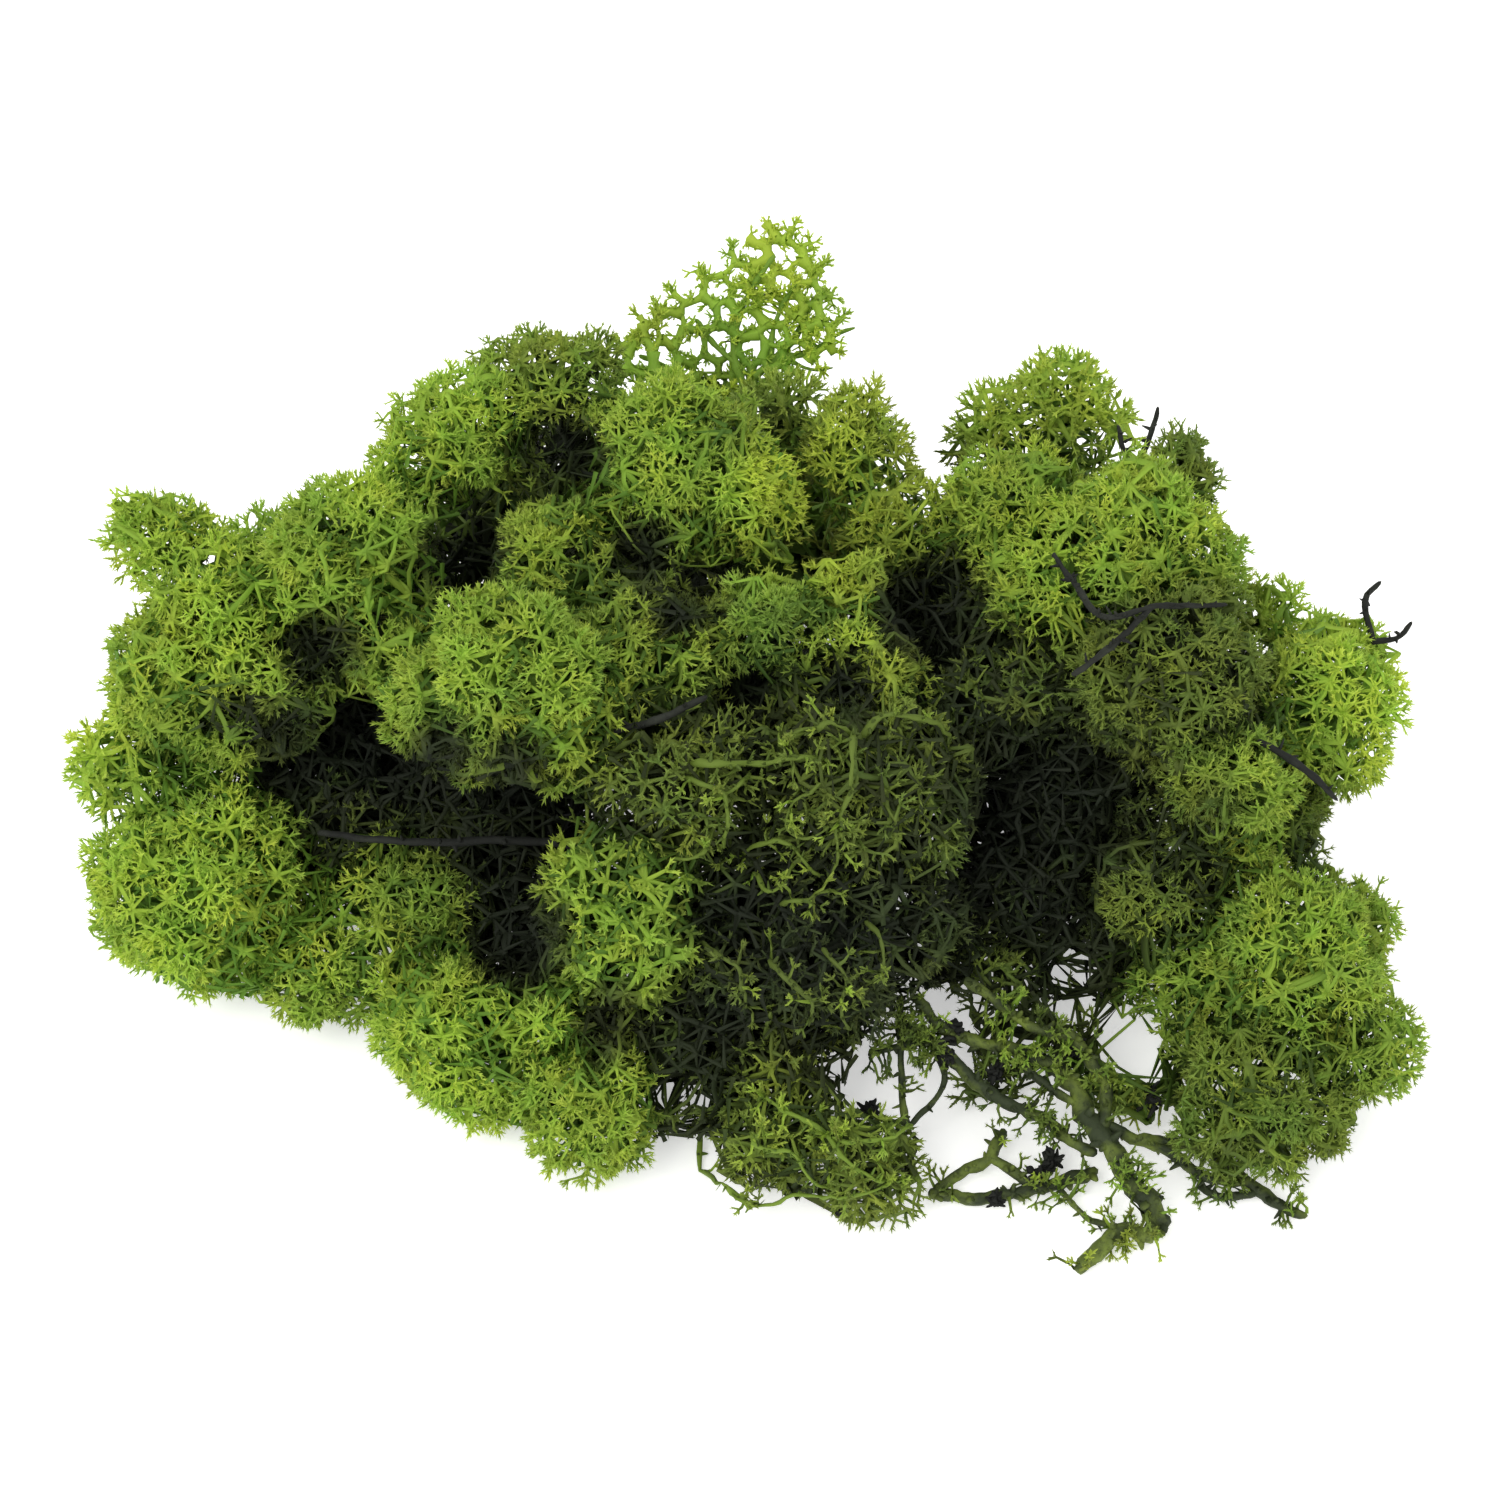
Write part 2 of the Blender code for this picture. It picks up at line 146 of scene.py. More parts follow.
@dataclass(frozen=True)
class LichenFinish:
    """Dyed, glycerine-soaked lichen: young tips take the most dye, old branches stay dull.

    The growth attribute carries, for each point, how old it is, how open to the sky, how warm its green is
    and, in its alpha, how little dye it took: 0 is lively, a half is dull and 1 is deep. Where a point sees
    little sky, its colour is darkened toward a near-black green: painted shade.

    Attributes:
        name: The material's name.
        glow: The share of the light that the thin branchlets let through.
        dyes: The colours of a lively, a dull and a deep dye; the deep one also serves as painted shade.
        ages: The ages that take a dye's young and its old colour.
        tint: How strongly warm and cool greens show in the tips, and how much of that the foot loses.
        painted_shade_colour: The near-black green of the painted shade, which what lies deep in a gap is
            darkened toward.
        depth: How steeply the painted shade comes on as the sky closes, and how much of the colour it
            takes.
        roughness: The dried skin of lichen is matt.
        ior: As for plant fibre.
        gloss: The strength of its reflection.
    """

    name: str
    glow: float
    dyes: tuple[Dye, Dye, Dye] = (LIVELY, DULL, DEEP_AND_PAINTED_SHADE)
    ages: tuple[float, float] = (0.22, 0.6)
    tint: tuple[float, float] = (0.6, 0.5)
    painted_shade_colour: str = "#10160a"
    depth: tuple[float, float] = (2.4, 0.8)
    roughness: float = 0.72
    ior: float = 1.45
    gloss: float = 0.35

    def material(self) -> bpy.types.Material:
        """Builds the shader.

        Returns:
            Its material.
        """
        graph = ShaderGraph(self.name)
        growth = graph.add("Attribute", attribute_name="growth")
        age, openness, warmth = graph.add("SeparateColor", {0: growth}).outputs
        lively, dull, deep = (self._dyed(graph, dye, age, warmth) for dye in self.dyes)
        dullness = graph.add("Math", {0: growth.outputs["Alpha"], 1: 2.0}, operation="MULTIPLY")
        past_dull = graph.add("Math", {0: dullness, 1: 1.0}, operation="SUBTRACT")
        to_dull = graph.add("Clamp", {0: dullness})
        to_deep = graph.add("Clamp", {0: past_dull})
        dulled = graph.add("Mix", {0: to_dull, 6: lively, 7: dull}, data_type="RGBA")
        dyed = graph.add("Mix", {0: to_deep, 6: dulled, 7: deep}, data_type="RGBA")
        # Painted shade: where a point sees little sky, deep in a gap or a crease, its colour is darkened
        # toward the painted shade colour.
        steepness, most = self.depth
        closed = graph.add("Math", {0: 1.0, 1: openness}, operation="SUBTRACT")
        steep = graph.add("Math", {0: closed, 1: steepness}, operation="POWER")
        painted_shade_share = graph.add("Math", {0: steep, 1: most}, operation="MULTIPLY")
        colour = graph.add("Mix", {0: painted_shade_share, 6: dyed, 7: linear(self.painted_shade_colour)}, data_type="RGBA")
        shader = graph.add(
            "BsdfPrincipled",
            {
                "Base Color": colour,
                "Roughness": self.roughness,
                "IOR": self.ior,
                "Specular IOR Level": self.gloss,
            },
        )
        # The thinnest tips let light through, which is why an edge against the light looks yellow.
        through = graph.add("BsdfTranslucent", {"Color": colour})
        surface = graph.add("MixShader", {0: self.glow, 1: shader, 2: through})
        graph.add("OutputMaterial", {"Surface": surface})
        return graph.material

    def _dyed(
        self, graph: ShaderGraph, dye: Dye, age: bpy.types.NodeSocket, warmth: bpy.types.NodeSocket
    ) -> bpy.types.Node:
        """The colour of one strength of dye.

        Args:
            graph: The material's tree.
            dye: The colours.
            age: How old the growth is.
            warmth: How warm its green is.

        Returns:
            The node that gives the colour.
        """
        ramp = graph.add("ValToRGB", {0: age})
        stops = ramp.color_ramp.elements
        stops[0].position, stops[0].color = 0.0, linear(dye.tip)
        stops[1].position, stops[1].color = 1.0, linear(dye.foot)
        for place, code in zip(self.ages, (dye.young, dye.old)):
            stops.new(place).color = linear(code)
        most, fading = self.tint
        faded = graph.add("Math", {0: age, 1: fading}, operation="MULTIPLY")
        fresh = graph.add("Math", {0: most, 1: faded}, operation="SUBTRACT")
        warmer = graph.add("Math", {0: warmth, 1: fresh}, operation="MULTIPLY")
        warm = graph.add("Mix", {0: warmer, 6: ramp, 7: linear(dye.warm)}, data_type="RGBA")
        coolness = graph.add("Math", {0: 1.0, 1: warmth}, operation="SUBTRACT")
        cooler = graph.add("Math", {0: coolness, 1: fresh}, operation="MULTIPLY")
        return graph.add("Mix", {0: cooler, 6: warm, 7: linear(dye.cool)}, data_type="RGBA")


@dataclass(frozen=True)
class StemFinish:
    """An old bare stem: leathery and grey green, specked dark, yellower where the bark is rubbed.

    Attributes:
        name: The material's name.
        bark: Its own colour.
        rubbed: Its colour where it is rubbed.
        speck: The colour of its specks.
        roughness: Leathery, and drier where the dye blackened it.
        ior: As for plant fibre.
        gloss: The strength of its reflection.
        patch_mm: How wide a rubbed patch is.
        patches: The noise at which a patch begins to show and is rubbed bare.
        rub: How much a strand's own rub adds to that noise.
        speck_mm: How wide a speck is.
        specks: The noise at which a speck begins to show and is darkest.
        darkness: How much of the colour a speck takes.
        relief: How strongly the specks stand out of the bark, and by how many millimetres.
    """

    name: str
    bark: str
    rubbed: str
    speck: str
    roughness: float = 0.7
    ior: float = 1.45
    gloss: float = 0.4
    patch_mm: float = 3.0
    patches: tuple[float, float] = (0.52, 0.78)
    rub: float = 0.25
    speck_mm: float = 0.5
    specks: tuple[float, float] = (0.52, 0.68)
    darkness: float = 0.6
    relief: tuple[float, float] = (0.6, 0.15)

    def material(self) -> bpy.types.Material:
        """Builds the shader.

        Returns:
            Its material.
        """
        graph = ShaderGraph(self.name)
        place = graph.add("TexCoord").outputs["Object"]
        growth = graph.add("Attribute", attribute_name="growth")
        warmth = graph.add("SeparateColor", {0: growth}).outputs[2]
        patches = graph.add("TexNoise", {"Vector": place, "Scale": 1 / (self.patch_mm * MM), "Detail": 3.0})
        speck_scale = 1 / (self.speck_mm * MM)
        specks = graph.add(
            "TexNoise", {"Vector": place, "Scale": speck_scale, "Detail": 4.0, "Roughness": 0.7}
        )
        rub = graph.add("Math", {0: warmth, 1: self.rub}, operation="MULTIPLY")
        worn = graph.add("Math", {0: patches, 1: rub}, operation="ADD")
        rubbed = graph.add("MapRange", {0: worn, 1: self.patches[0], 2: self.patches[1]})
        dark = graph.add("MapRange", {0: specks, 1: self.specks[0], 2: self.specks[1]})
        darker = graph.add("Math", {0: dark, 1: self.darkness}, operation="MULTIPLY")
        bare = graph.add("Mix", {0: rubbed, 6: linear(self.bark), 7: linear(self.rubbed)}, data_type="RGBA")
        colour = graph.add("Mix", {0: darker, 6: bare, 7: linear(self.speck)}, data_type="RGBA")
        strength, height = self.relief
        bump = graph.add("Bump", {"Strength": strength, "Distance": height * MM, "Height": specks})
        shader = graph.add(
            "BsdfPrincipled",
            {
                "Base Color": colour,
                "Roughness": self.roughness,
                "IOR": self.ior,
                "Specular IOR Level": self.gloss,
                "Normal": bump,
            },
        )
        graph.add("OutputMaterial", {"Surface": shader})
        return graph.material


LICHEN = {
    Slot.BRIGHT: LichenFinish("lichen_dyed_bright", glow=0.2),
    Slot.OLIVE: LichenFinish("lichen_dyed_olive", glow=0.14),
    Slot.DARK: LichenFinish("lichen_dyed_dark", glow=0.08),
}
BARK = StemFinish(name="stem_leathery_green", bark="#2d371d", rubbed="#6c7c30", speck="#1a2112")
BLACKENED = StemFinish(
    name="twig_blackened_by_dye", bark="#191b17", rubbed="#2c2f27", speck="#0b0c0a", roughness=0.85
)


@dataclass(frozen=True)
class Habit:
    """How a tuft grows. Lengths are in millimetres.

    Attributes:
        spacing: How far apart the crowns of tips stand.
        crown: How far a crown's twiglets reach.
        twiglets: How many twiglets a crown has, at least and at most.
        spread: The angle of the twiglets from the way out, least and most, in degrees.
        prong: A tip's length.
        fork: The angle between a twiglet's tips, least and most, in degrees.
        girth: A twiglet's radius where it leaves its crown.
        depths: How deep the crowns, forks and limbs lie under the skin.
        forks: How far apart the forks and the limbs stand.
        lumps: The lumps of the skin, each kind by its size and the depth of the dimples between.
        lean: How far the shoots of a lump lean out of its middle.
        stray: How far a fork may lie off its even place.
        wood_gap: How far apart the forks of the old wood inside stand.
        wood_radius: Radius of the old wood just under the skin and in the middle of the mass.
        wood_from: How full the blurred mass is where the old wood begins.
        wood_shows: Whether the old wood near the skin shows, so that it bends as branches do.
        lattice: The holes of the net that joins its shoots over the skin, or 0 where it has none.
    """

    spacing: float = 1.0
    crown: float = 1.0
    twiglets: tuple[int, int] = (3, 4)
    spread: tuple[float, float] = (22.0, 60.0)
    prong: float = 0.6
    fork: tuple[float, float] = (30.0, 58.0)
    girth: float = 0.135
    depths: tuple[float, ...] = (0.55, 2.4, 5.2, 9.0)
    forks: tuple[float, ...] = (2.5, 4.6, 8.0)
    lumps: tuple[tuple[float, float], ...] = ((10.0, 3.2), (4.2, 1.6))
    lean: float = 0.6
    stray: float = 0.3
    wood_gap: float = 2.45
    wood_radius: tuple[float, float] = (0.34, 1.4)
    wood_from: float = 0.7
    wood_shows: bool = False
    lattice: float = 0.0


@dataclass(frozen=True)
class Sparing:
    """Where the growth may be thinner, since it shows less.

    Attributes:
        unseen: Crowns that the photo's view doesn't see stand this many times further apart.
        closed: How much further apart still, where a gap is closed to the sky.
        bridge: How far crowns rise out of a crease, in millimetres.
        full: How full the blurred mass is where they stop.
        buried: The share of the crowns deep between two tufts that is kept.
    """

    unseen: float = 1.88
    closed: float = 1.0
    bridge: float = 3.6
    full: float = 0.5
    buried: float = 0.08


SPARE = Sparing()
CUSHION = Habit()
FIRM = replace(CUSHION, wood_gap=2.1, wood_from=0.63)
CLOSE = replace(CUSHION, spacing=0.92, crown=0.88, prong=0.5, girth=0.118, lumps=((8.5, 3.2), (3.6, 1.5)))
OPEN = replace(
    CUSHION,
    spacing=1.3,
    crown=1.1,
    girth=0.17,
    depths=(0.5, 2.2, 4.5, 8.0),
    forks=(2.8, 5.0, 9.0),
    lumps=((6.5, 2.0),),
)
LOOSE = replace(OPEN, wood_gap=2.1, wood_from=0.6, lattice=2.6)
NETTED = replace(OPEN, spacing=1.4, lumps=((5.0, 2.4),), wood_gap=2.0, wood_from=0.6, lattice=1.8)
TANGLE = replace(
    CUSHION,
    spacing=1.25,
    crown=1.2,
    twiglets=(2, 4),
    prong=0.55,
    girth=0.155,
    depths=(0.6, 2.6, 5.4, 9.0),
    forks=(2.6, 5.0, 9.0),
    lumps=((8.0, 3.4), (3.5, 1.6)),
    stray=0.7,
    wood_gap=2.1,
    wood_radius=(0.38, 1.3),
    wood_from=0.62,
)
SPROUT = replace(CUSHION, crown=0.7, prong=0.4, girth=0.13)
HIDDEN = replace(CUSHION, spacing=1.4, crown=1.3, prong=0.65, girth=0.19, forks=(2.8, 5.0, 9.0))
GAP = replace(
    HIDDEN,
    spacing=1.45,
    crown=1.15,
    girth=0.17,
    wood_gap=1.85,
    wood_radius=(0.36, 1.3),
    wood_from=0.5,
    wood_shows=True,
)


@dataclass(frozen=True)
class TuftPlan:
    """What a tuft is made of and how it grows.

    Attributes:
        slot: Its material slot.
        habit: How it grows.
        dullness: How little dye it took: 0 is lively, a half is dull and 1 is deep. On the tufts in the
            gaps it is painted shade.
        warmth: How warm its green is, from 0 to 1.
        runners: Bare old branches that lie on it.
        web: The web it is, where it is thin and upright.
    """

    slot: Slot
    habit: Habit
    dullness: float
    warmth: float = 0.5
    runners: tuple["Runner", ...] = ()
    web: "Web | None" = None


@dataclass(frozen=True)
class Runner:
    """A bare branch that lies on a tuft, by its course in the photo's view.

    Attributes:
        course: Points across and up from the picture's centre, in millimetres.
        girth: Its radius where it is thickest, in millimetres.
        knobs: How many stubs a centimetre of it has.
        sprouts: How many young shoots grow from a centimetre of it.
    """

    course: tuple[tuple[float, float], ...]
    girth: float = 0.4
    knobs: float = 12
    sprouts: float = 9


@dataclass(frozen=True)
class Web:
    """An upright sheet of branches that ran together and left round holes. Lengths are in millimetres.

    Attributes:
        hole: How far apart the holes' middles lie.
        wall: Radius of the branches between them.
        over: The height above the table where the sheet begins.
        arms: The strong branches in it and past its edge.
        shade: How much sky they see, how warm their green is and how little dye they took.
        tries: How many places are tried for holes.
        widest: How far apart the middles of two holes with a branch between them may lie, in holes.
        young: How far from the web's root its branches are youngest.
    """

    hole: float
    wall: float
    over: float
    arms: tuple[Runner, ...]
    shade: tuple[float, float, float] = (0.8, 0.4, 0.22)
    tries: int = 6000
    widest: float = 2.1
    young: float = 13.0


FAN_WEB = Web(
    hole=2.15,
    wall=0.46,
    over=27.5,
    arms=(
        Runner(
            ((-2.2, 34.0), (-0.5, 36.2), (0.6, 37.4), (2.0, 38.6), (3.7, 40.2), (5.2, 42.4), (5.8, 44.4)),
            0.62,
        ),
        Runner(((5.2, 42.4), (6.4, 43.2), (7.6, 43.2), (8.7, 42.6)), 0.3),
        Runner(((3.2, 39.6), (4.4, 39.4), (5.8, 39.7), (7.6, 40.7), (9.0, 41.7), (10.4, 42.2)), 0.36),
        Runner(((3.6, 39.3), (5.0, 38.4), (6.6, 38.0), (8.2, 38.2)), 0.26),
        Runner(((-0.5, 36.2), (-1.6, 39.4), (-1.2, 43.0), (0.4, 46.5), (2.4, 49.4)), 0.5),
        Runner(((-1.4, 38.6), (-3.6, 40.6), (-5.4, 43.0)), 0.42),
        Runner(((-2.2, 35.0), (-5.4, 36.4), (-8.6, 38.4), (-11.0, 39.4)), 0.42),
        Runner(((2.0, 38.6), (2.2, 41.6), (3.2, 44.4), (4.6, 46.6)), 0.42),
    ),
)
FRONT_RUNNERS = (
    Runner(
        (
            (-5.4, -39.6), (-4.8, -42.0), (-2.4, -43.2), (0.6, -45.2), (4.8, -44.2), (9.0, -44.4),
            (15.0, -43.8),
        ),
        0.3,
    ),
    Runner(((6.0, -37.8), (9.0, -39.0), (13.8, -39.0), (17.4, -36.6)), 0.28),
    Runner(((0.6, -33.6), (3.0, -36.0), (6.6, -37.8), (10.8, -42.0), (14.4, -43.8)), 0.32),
    Runner(((-1.0, -38.0), (1.5, -40.0), (4.0, -40.2), (6.5, -42.5), (8.0, -45.0)), 0.26),
)
DARK_RUNNERS = (
    Runner(((1.7, -21.4), (4.4, -23.3), (6.1, -25.6), (6.0, -28.3)), 0.34),
    Runner(((1.1, -27.8), (2.2, -29.4), (3.3, -31.1)), 0.3),
    Runner(((-4.5, -19.0), (-2.0, -21.0), (-0.5, -23.5), (-1.0, -27.0)), 0.3),
    Runner(((8.0, -20.0), (9.5, -23.0), (9.0, -26.5), (11.0, -29.0)), 0.3),
    Runner(((12.5, -17.0), (13.5, -20.5), (12.5, -24.0)), 0.28),
)
LEFT_RUNNERS = (
    Runner(((-5.3, -1.2), (0.2, -1.4), (4.0, -1.0), (6.5, -0.2)), 0.42),
    Runner(((-6.0, -2.7), (-2.8, -4.5), (-2.3, -7.7), (-3.0, -9.5), (-2.5, -11.0)), 0.3),
    Runner(((0.2, -2.2), (-1.4, -3.6), (-2.8, -4.5)), 0.34),
    Runner(((-3.0, -9.2), (-5.3, -10.5), (-8.5, -10.7)), 0.28),
    Runner(((-0.3, -10.5), (2.2, -8.7), (5.0, -10.2), (7.2, -12.7)), 0.3),
    Runner(((0.0, -12.0), (2.5, -14.5), (4.0, -12.5), (4.2, -11.0)), 0.28),
)
RIGHT_RUNNERS = (
    Runner(((2.2, 1.0), (5.0, 1.6), (7.5, 2.0), (8.2, 3.0), (10.2, 2.6)), 0.45),
    Runner(((11.5, 2.5), (14.0, 3.3), (16.5, 3.0), (21.0, 1.8)), 0.45),
    Runner(((10.2, 2.8), (10.0, -3.0), (9.7, -5.2), (8.7, -7.7), (8.7, -10.5), (7.5, -13.5)), 0.3),
    Runner(((2.5, -14.7), (4.5, -15.2), (7.0, -14.2), (9.0, -14.5)), 0.28),
    Runner(((6.0, -3.7), (4.0, -6.0), (4.2, -8.2), (6.0, -8.7), (8.2, -7.7)), 0.26),
)

PLANS: dict[str, TuftPlan] = {
    "tuft_left_horn": TuftPlan(Slot.BRIGHT, CUSHION, 0.0, 0.6),
    "tuft_left_middle": TuftPlan(Slot.BRIGHT, CUSHION, 0.1, 0.5),
    "tuft_left_edge": TuftPlan(Slot.BRIGHT, LOOSE, 0.08, 0.55),
    "tuft_left_top": TuftPlan(Slot.BRIGHT, CUSHION, 0.1, 0.5),
    "tuft_left_low": TuftPlan(Slot.BRIGHT, FIRM, 0.0, 0.5),
    "tuft_low_shaded": TuftPlan(Slot.OLIVE, FIRM, 0.24, 0.5),
    "tuft_low_middle": TuftPlan(Slot.BRIGHT, FIRM, 0.0, 0.6),
    "tuft_low_right": TuftPlan(Slot.BRIGHT, CLOSE, 0.12, 0.55),
    "tuft_netted": TuftPlan(Slot.BRIGHT, NETTED, 0.18, 0.5),
    "tuft_centre_front": TuftPlan(Slot.BRIGHT, CUSHION, 0.17, 0.55),
    "tuft_centre_right": TuftPlan(Slot.OLIVE, CLOSE, 0.26, 0.6),
    "tuft_top_left": TuftPlan(Slot.BRIGHT, CLOSE, 0.0, 0.55),
    "tuft_top_shaded": TuftPlan(Slot.OLIVE, CLOSE, 0.38, 0.5),
    "tuft_top_large": TuftPlan(Slot.BRIGHT, CLOSE, 0.14, 0.5),
    "tuft_bluish": TuftPlan(Slot.OLIVE, CLOSE, 0.36, 0.1),
    "tuft_back_fan": TuftPlan(Slot.BRIGHT, OPEN, 0.08, 0.5, web=FAN_WEB),
    "tuft_back_shaded": TuftPlan(Slot.DARK, OPEN, 0.32, 0.5),
    "tuft_back_yellow": TuftPlan(Slot.OLIVE, CUSHION, 0.22, 0.9),
    "tuft_olive_small": TuftPlan(Slot.OLIVE, CLOSE, 0.24, 0.8),
    "tuft_olive_left": TuftPlan(Slot.OLIVE, TANGLE, 0.55, 0.6, LEFT_RUNNERS),
    "tuft_olive_right": TuftPlan(Slot.OLIVE, TANGLE, 0.58, 0.55, RIGHT_RUNNERS),
    "tuft_dark_front": TuftPlan(Slot.DARK, TANGLE, 0.97, 0.5, DARK_RUNNERS),
    "tuft_front_tangle": TuftPlan(Slot.OLIVE, TANGLE, 0.46, 0.65, FRONT_RUNNERS),
    "tuft_middle_deep": TuftPlan(Slot.OLIVE, TANGLE, 0.7, 0.5),
    # The tufts in the gaps take the deepest colour, which is painted shade: little light reaches them.
    "tuft_gap_right": TuftPlan(Slot.DARK, GAP, 1.0),
    "tuft_gap_middle": TuftPlan(Slot.DARK, GAP, 1.0),
    "tuft_gap_left": TuftPlan(Slot.DARK, GAP, 1.0),
    "tuft_gap_front": TuftPlan(Slot.DARK, GAP, 0.9),
    "tuft_net_left": TuftPlan(Slot.OLIVE, TANGLE, 0.6),
    "tuft_net_right": TuftPlan(Slot.BRIGHT, TANGLE, 0.3, 0.7),
    "tuft_right_back": TuftPlan(Slot.OLIVE, replace(OPEN, spacing=1.2, lattice=2.4), 0.2, 0.65),
    "tuft_right_inner": TuftPlan(Slot.BRIGHT, CLOSE, 0.16, 0.55),
    "tuft_right_horn": TuftPlan(Slot.OLIVE, CLOSE, 0.45, 0.5),
    "tuft_right_top": TuftPlan(Slot.BRIGHT, CUSHION, 0.12, 0.6),
    "tuft_right_middle": TuftPlan(Slot.OLIVE, CLOSE, 0.55, 0.55),
    "tuft_right_edge": TuftPlan(Slot.BRIGHT, CUSHION, 0.0, 0.65),
    "tuft_right_low": TuftPlan(Slot.BRIGHT, CLOSE, 0.28, 0.5),
    "tuft_right_shaded": TuftPlan(Slot.DARK, CLOSE, 0.55, 0.5),
    "tuft_corner": TuftPlan(Slot.BRIGHT, CLOSE, 0.19, 0.5),
    "tuft_corner_side": TuftPlan(Slot.BRIGHT, CLOSE, 0.24, 0.5),
    "tuft_corner_low": TuftPlan(Slot.BRIGHT, CLOSE, 0.42, 0.45),
    "tuft_under_left": TuftPlan(Slot.OLIVE, HIDDEN, 0.6),
    "tuft_under_middle": TuftPlan(Slot.OLIVE, HIDDEN, 0.6),
    "tuft_under_right": TuftPlan(Slot.OLIVE, HIDDEN, 0.6),
    "tuft_rear_corner": TuftPlan(Slot.OLIVE, replace(HIDDEN, wood_gap=1.8, wood_from=0.5), 0.35),
    "tuft_rear_left": TuftPlan(Slot.OLIVE, HIDDEN, 0.35),
    "tuft_rear_middle": TuftPlan(Slot.OLIVE, HIDDEN, 0.4),
    "tuft_rear_right": TuftPlan(Slot.OLIVE, HIDDEN, 0.35),
    "tuft_side_right": TuftPlan(Slot.OLIVE, HIDDEN, 0.4),
}


@dataclass(frozen=True)
class Strand:
    """A stretch of a bare stem or twig, by its course in the photo's view.

    Attributes:
        course: Points across and up from the picture's centre and above the table, each with its radius,
            all in millimetres.
        rub: How much of its bark is rubbed to yellow, from 0 to 1.
    """

    course: tuple[tuple[float, float, float, float], ...]
    rub: float = 0.35


@dataclass(frozen=True)
class StemPlan:
    """A bare stem or twig.

    Attributes:
        slot: Its material slot.
        strands: Its stretches, the trunk first.
        sprouts: How many young shoots grow from a centimetre of it.
        knobs: How many stubs a centimetre of it has.
        dullness: How little dye the shoots took.
        rough: How uneven its girth is, as a share.
        crumbs: Dead black tufts caught on it: across, up, height above the table and reach, in millimetres.
    """

    slot: Slot
    strands: tuple[Strand, ...]
    sprouts: float = 0.0
    knobs: float = 4.0
    dullness: float = 0.5
    rough: float = 0.18
    crumbs: tuple[tuple[float, float, float, float], ...] = ()


HOOKED = (
    Strand(
        (
            (16.7, -24.7, 11.0, 0.5), (19.0, -27.7, 10.0, 0.6), (22.3, -29.0, 9.2, 0.65),
            (26.3, -30.0, 8.4, 0.7), (29.7, -31.3, 7.6, 0.8), (32.3, -33.7, 7.0, 0.9),
            (33.7, -36.7, 6.4, 1.0), (35.7, -39.3, 5.6, 1.05), (37.7, -42.7, 4.6, 1.05),
            (40.0, -45.7, 3.2, 1.1), (41.7, -47.7, 1.9, 0.9),
        )
    ),
    Strand(
        (
            (21.7, -23.0, 13.0, 0.5), (26.3, -26.3, 11.5, 0.5), (29.0, -28.0, 10.5, 0.55),
            (32.3, -29.0, 9.6, 0.6), (34.3, -31.3, 8.6, 0.6), (35.5, -34.0, 7.6, 0.6),
            (35.3, -38.0, 6.2, 0.6),
        )
    ),
    Strand(((26.3, -30.0, 8.4, 0.5), (29.0, -33.0, 7.0, 0.45), (32.5, -35.4, 6.6, 0.45))),
    Strand(
        (
            (41.5, -47.5, 1.9, 0.85), (39.6, -48.3, 1.8, 0.8), (37.6, -48.0, 1.7, 0.75),
            (35.7, -49.2, 1.5, 0.8), (33.7, -51.0, 1.2, 0.8), (32.7, -52.3, 1.0, 0.6),
        ),
        rub=1.0,
    ),
    Strand(
        (
            (31.0, -44.0, 1.4, 0.3), (33.5, -46.5, 1.2, 0.32),
            (36.0, -47.5, 1.3, 0.32), (38.0, -47.8, 1.7, 0.3),
        )
    ),
)
LEFT_STEM = (
    Strand(
        (
            (14.8, -27.0, 10.0, 0.55), (18.3, -29.3, 8.5, 0.6), (21.0, -31.7, 7.6, 0.6),
            (23.3, -33.7, 6.8, 0.65), (25.7, -35.3, 6.0, 0.6), (28.3, -36.3, 5.2, 0.65),
            (30.7, -37.7, 4.8, 0.6), (32.0, -39.3, 4.6, 0.55), (34.6, -40.4, 4.8, 0.5),
        )
    ),
    Strand(
        (
            (15.0, -24.7, 11.0, 0.4), (15.0, -29.0, 8.6, 0.35),
            (15.2, -34.7, 5.4, 0.35), (15.7, -37.7, 4.0, 0.4),
        )
    ),
    Strand(
        (
            (12.0, -30.5, 8.4, 0.3), (15.0, -29.5, 8.6, 0.32), (18.0, -29.5, 8.4, 0.35),
            (19.5, -32.5, 6.6, 0.33), (18.5, -35.0, 5.4, 0.3), (16.0, -37.5, 4.2, 0.35),
        )
    ),
)
FORKED = (
    Strand(
        (
            (18.0, -44.3, 1.1, 0.6), (22.3, -44.7, 1.1, 0.65), (26.3, -44.3, 1.1, 0.6),
            (29.0, -43.7, 1.2, 0.65), (32.3, -43.0, 1.4, 0.7), (34.7, -42.0, 1.8, 0.6),
        ),
        rub=0.5,
    ),
    Strand(
        (
            (18.7, -44.0, 1.4, 0.5), (21.7, -42.0, 2.0, 0.55),
            (24.0, -40.7, 2.4, 0.6), (25.3, -38.0, 3.0, 0.5),
        ),
        rub=0.6,
    ),
    Strand(((24.0, -40.7, 2.4, 0.5), (27.0, -42.7, 1.7, 0.55), (29.7, -44.0, 1.3, 0.6)), rub=0.7),
)
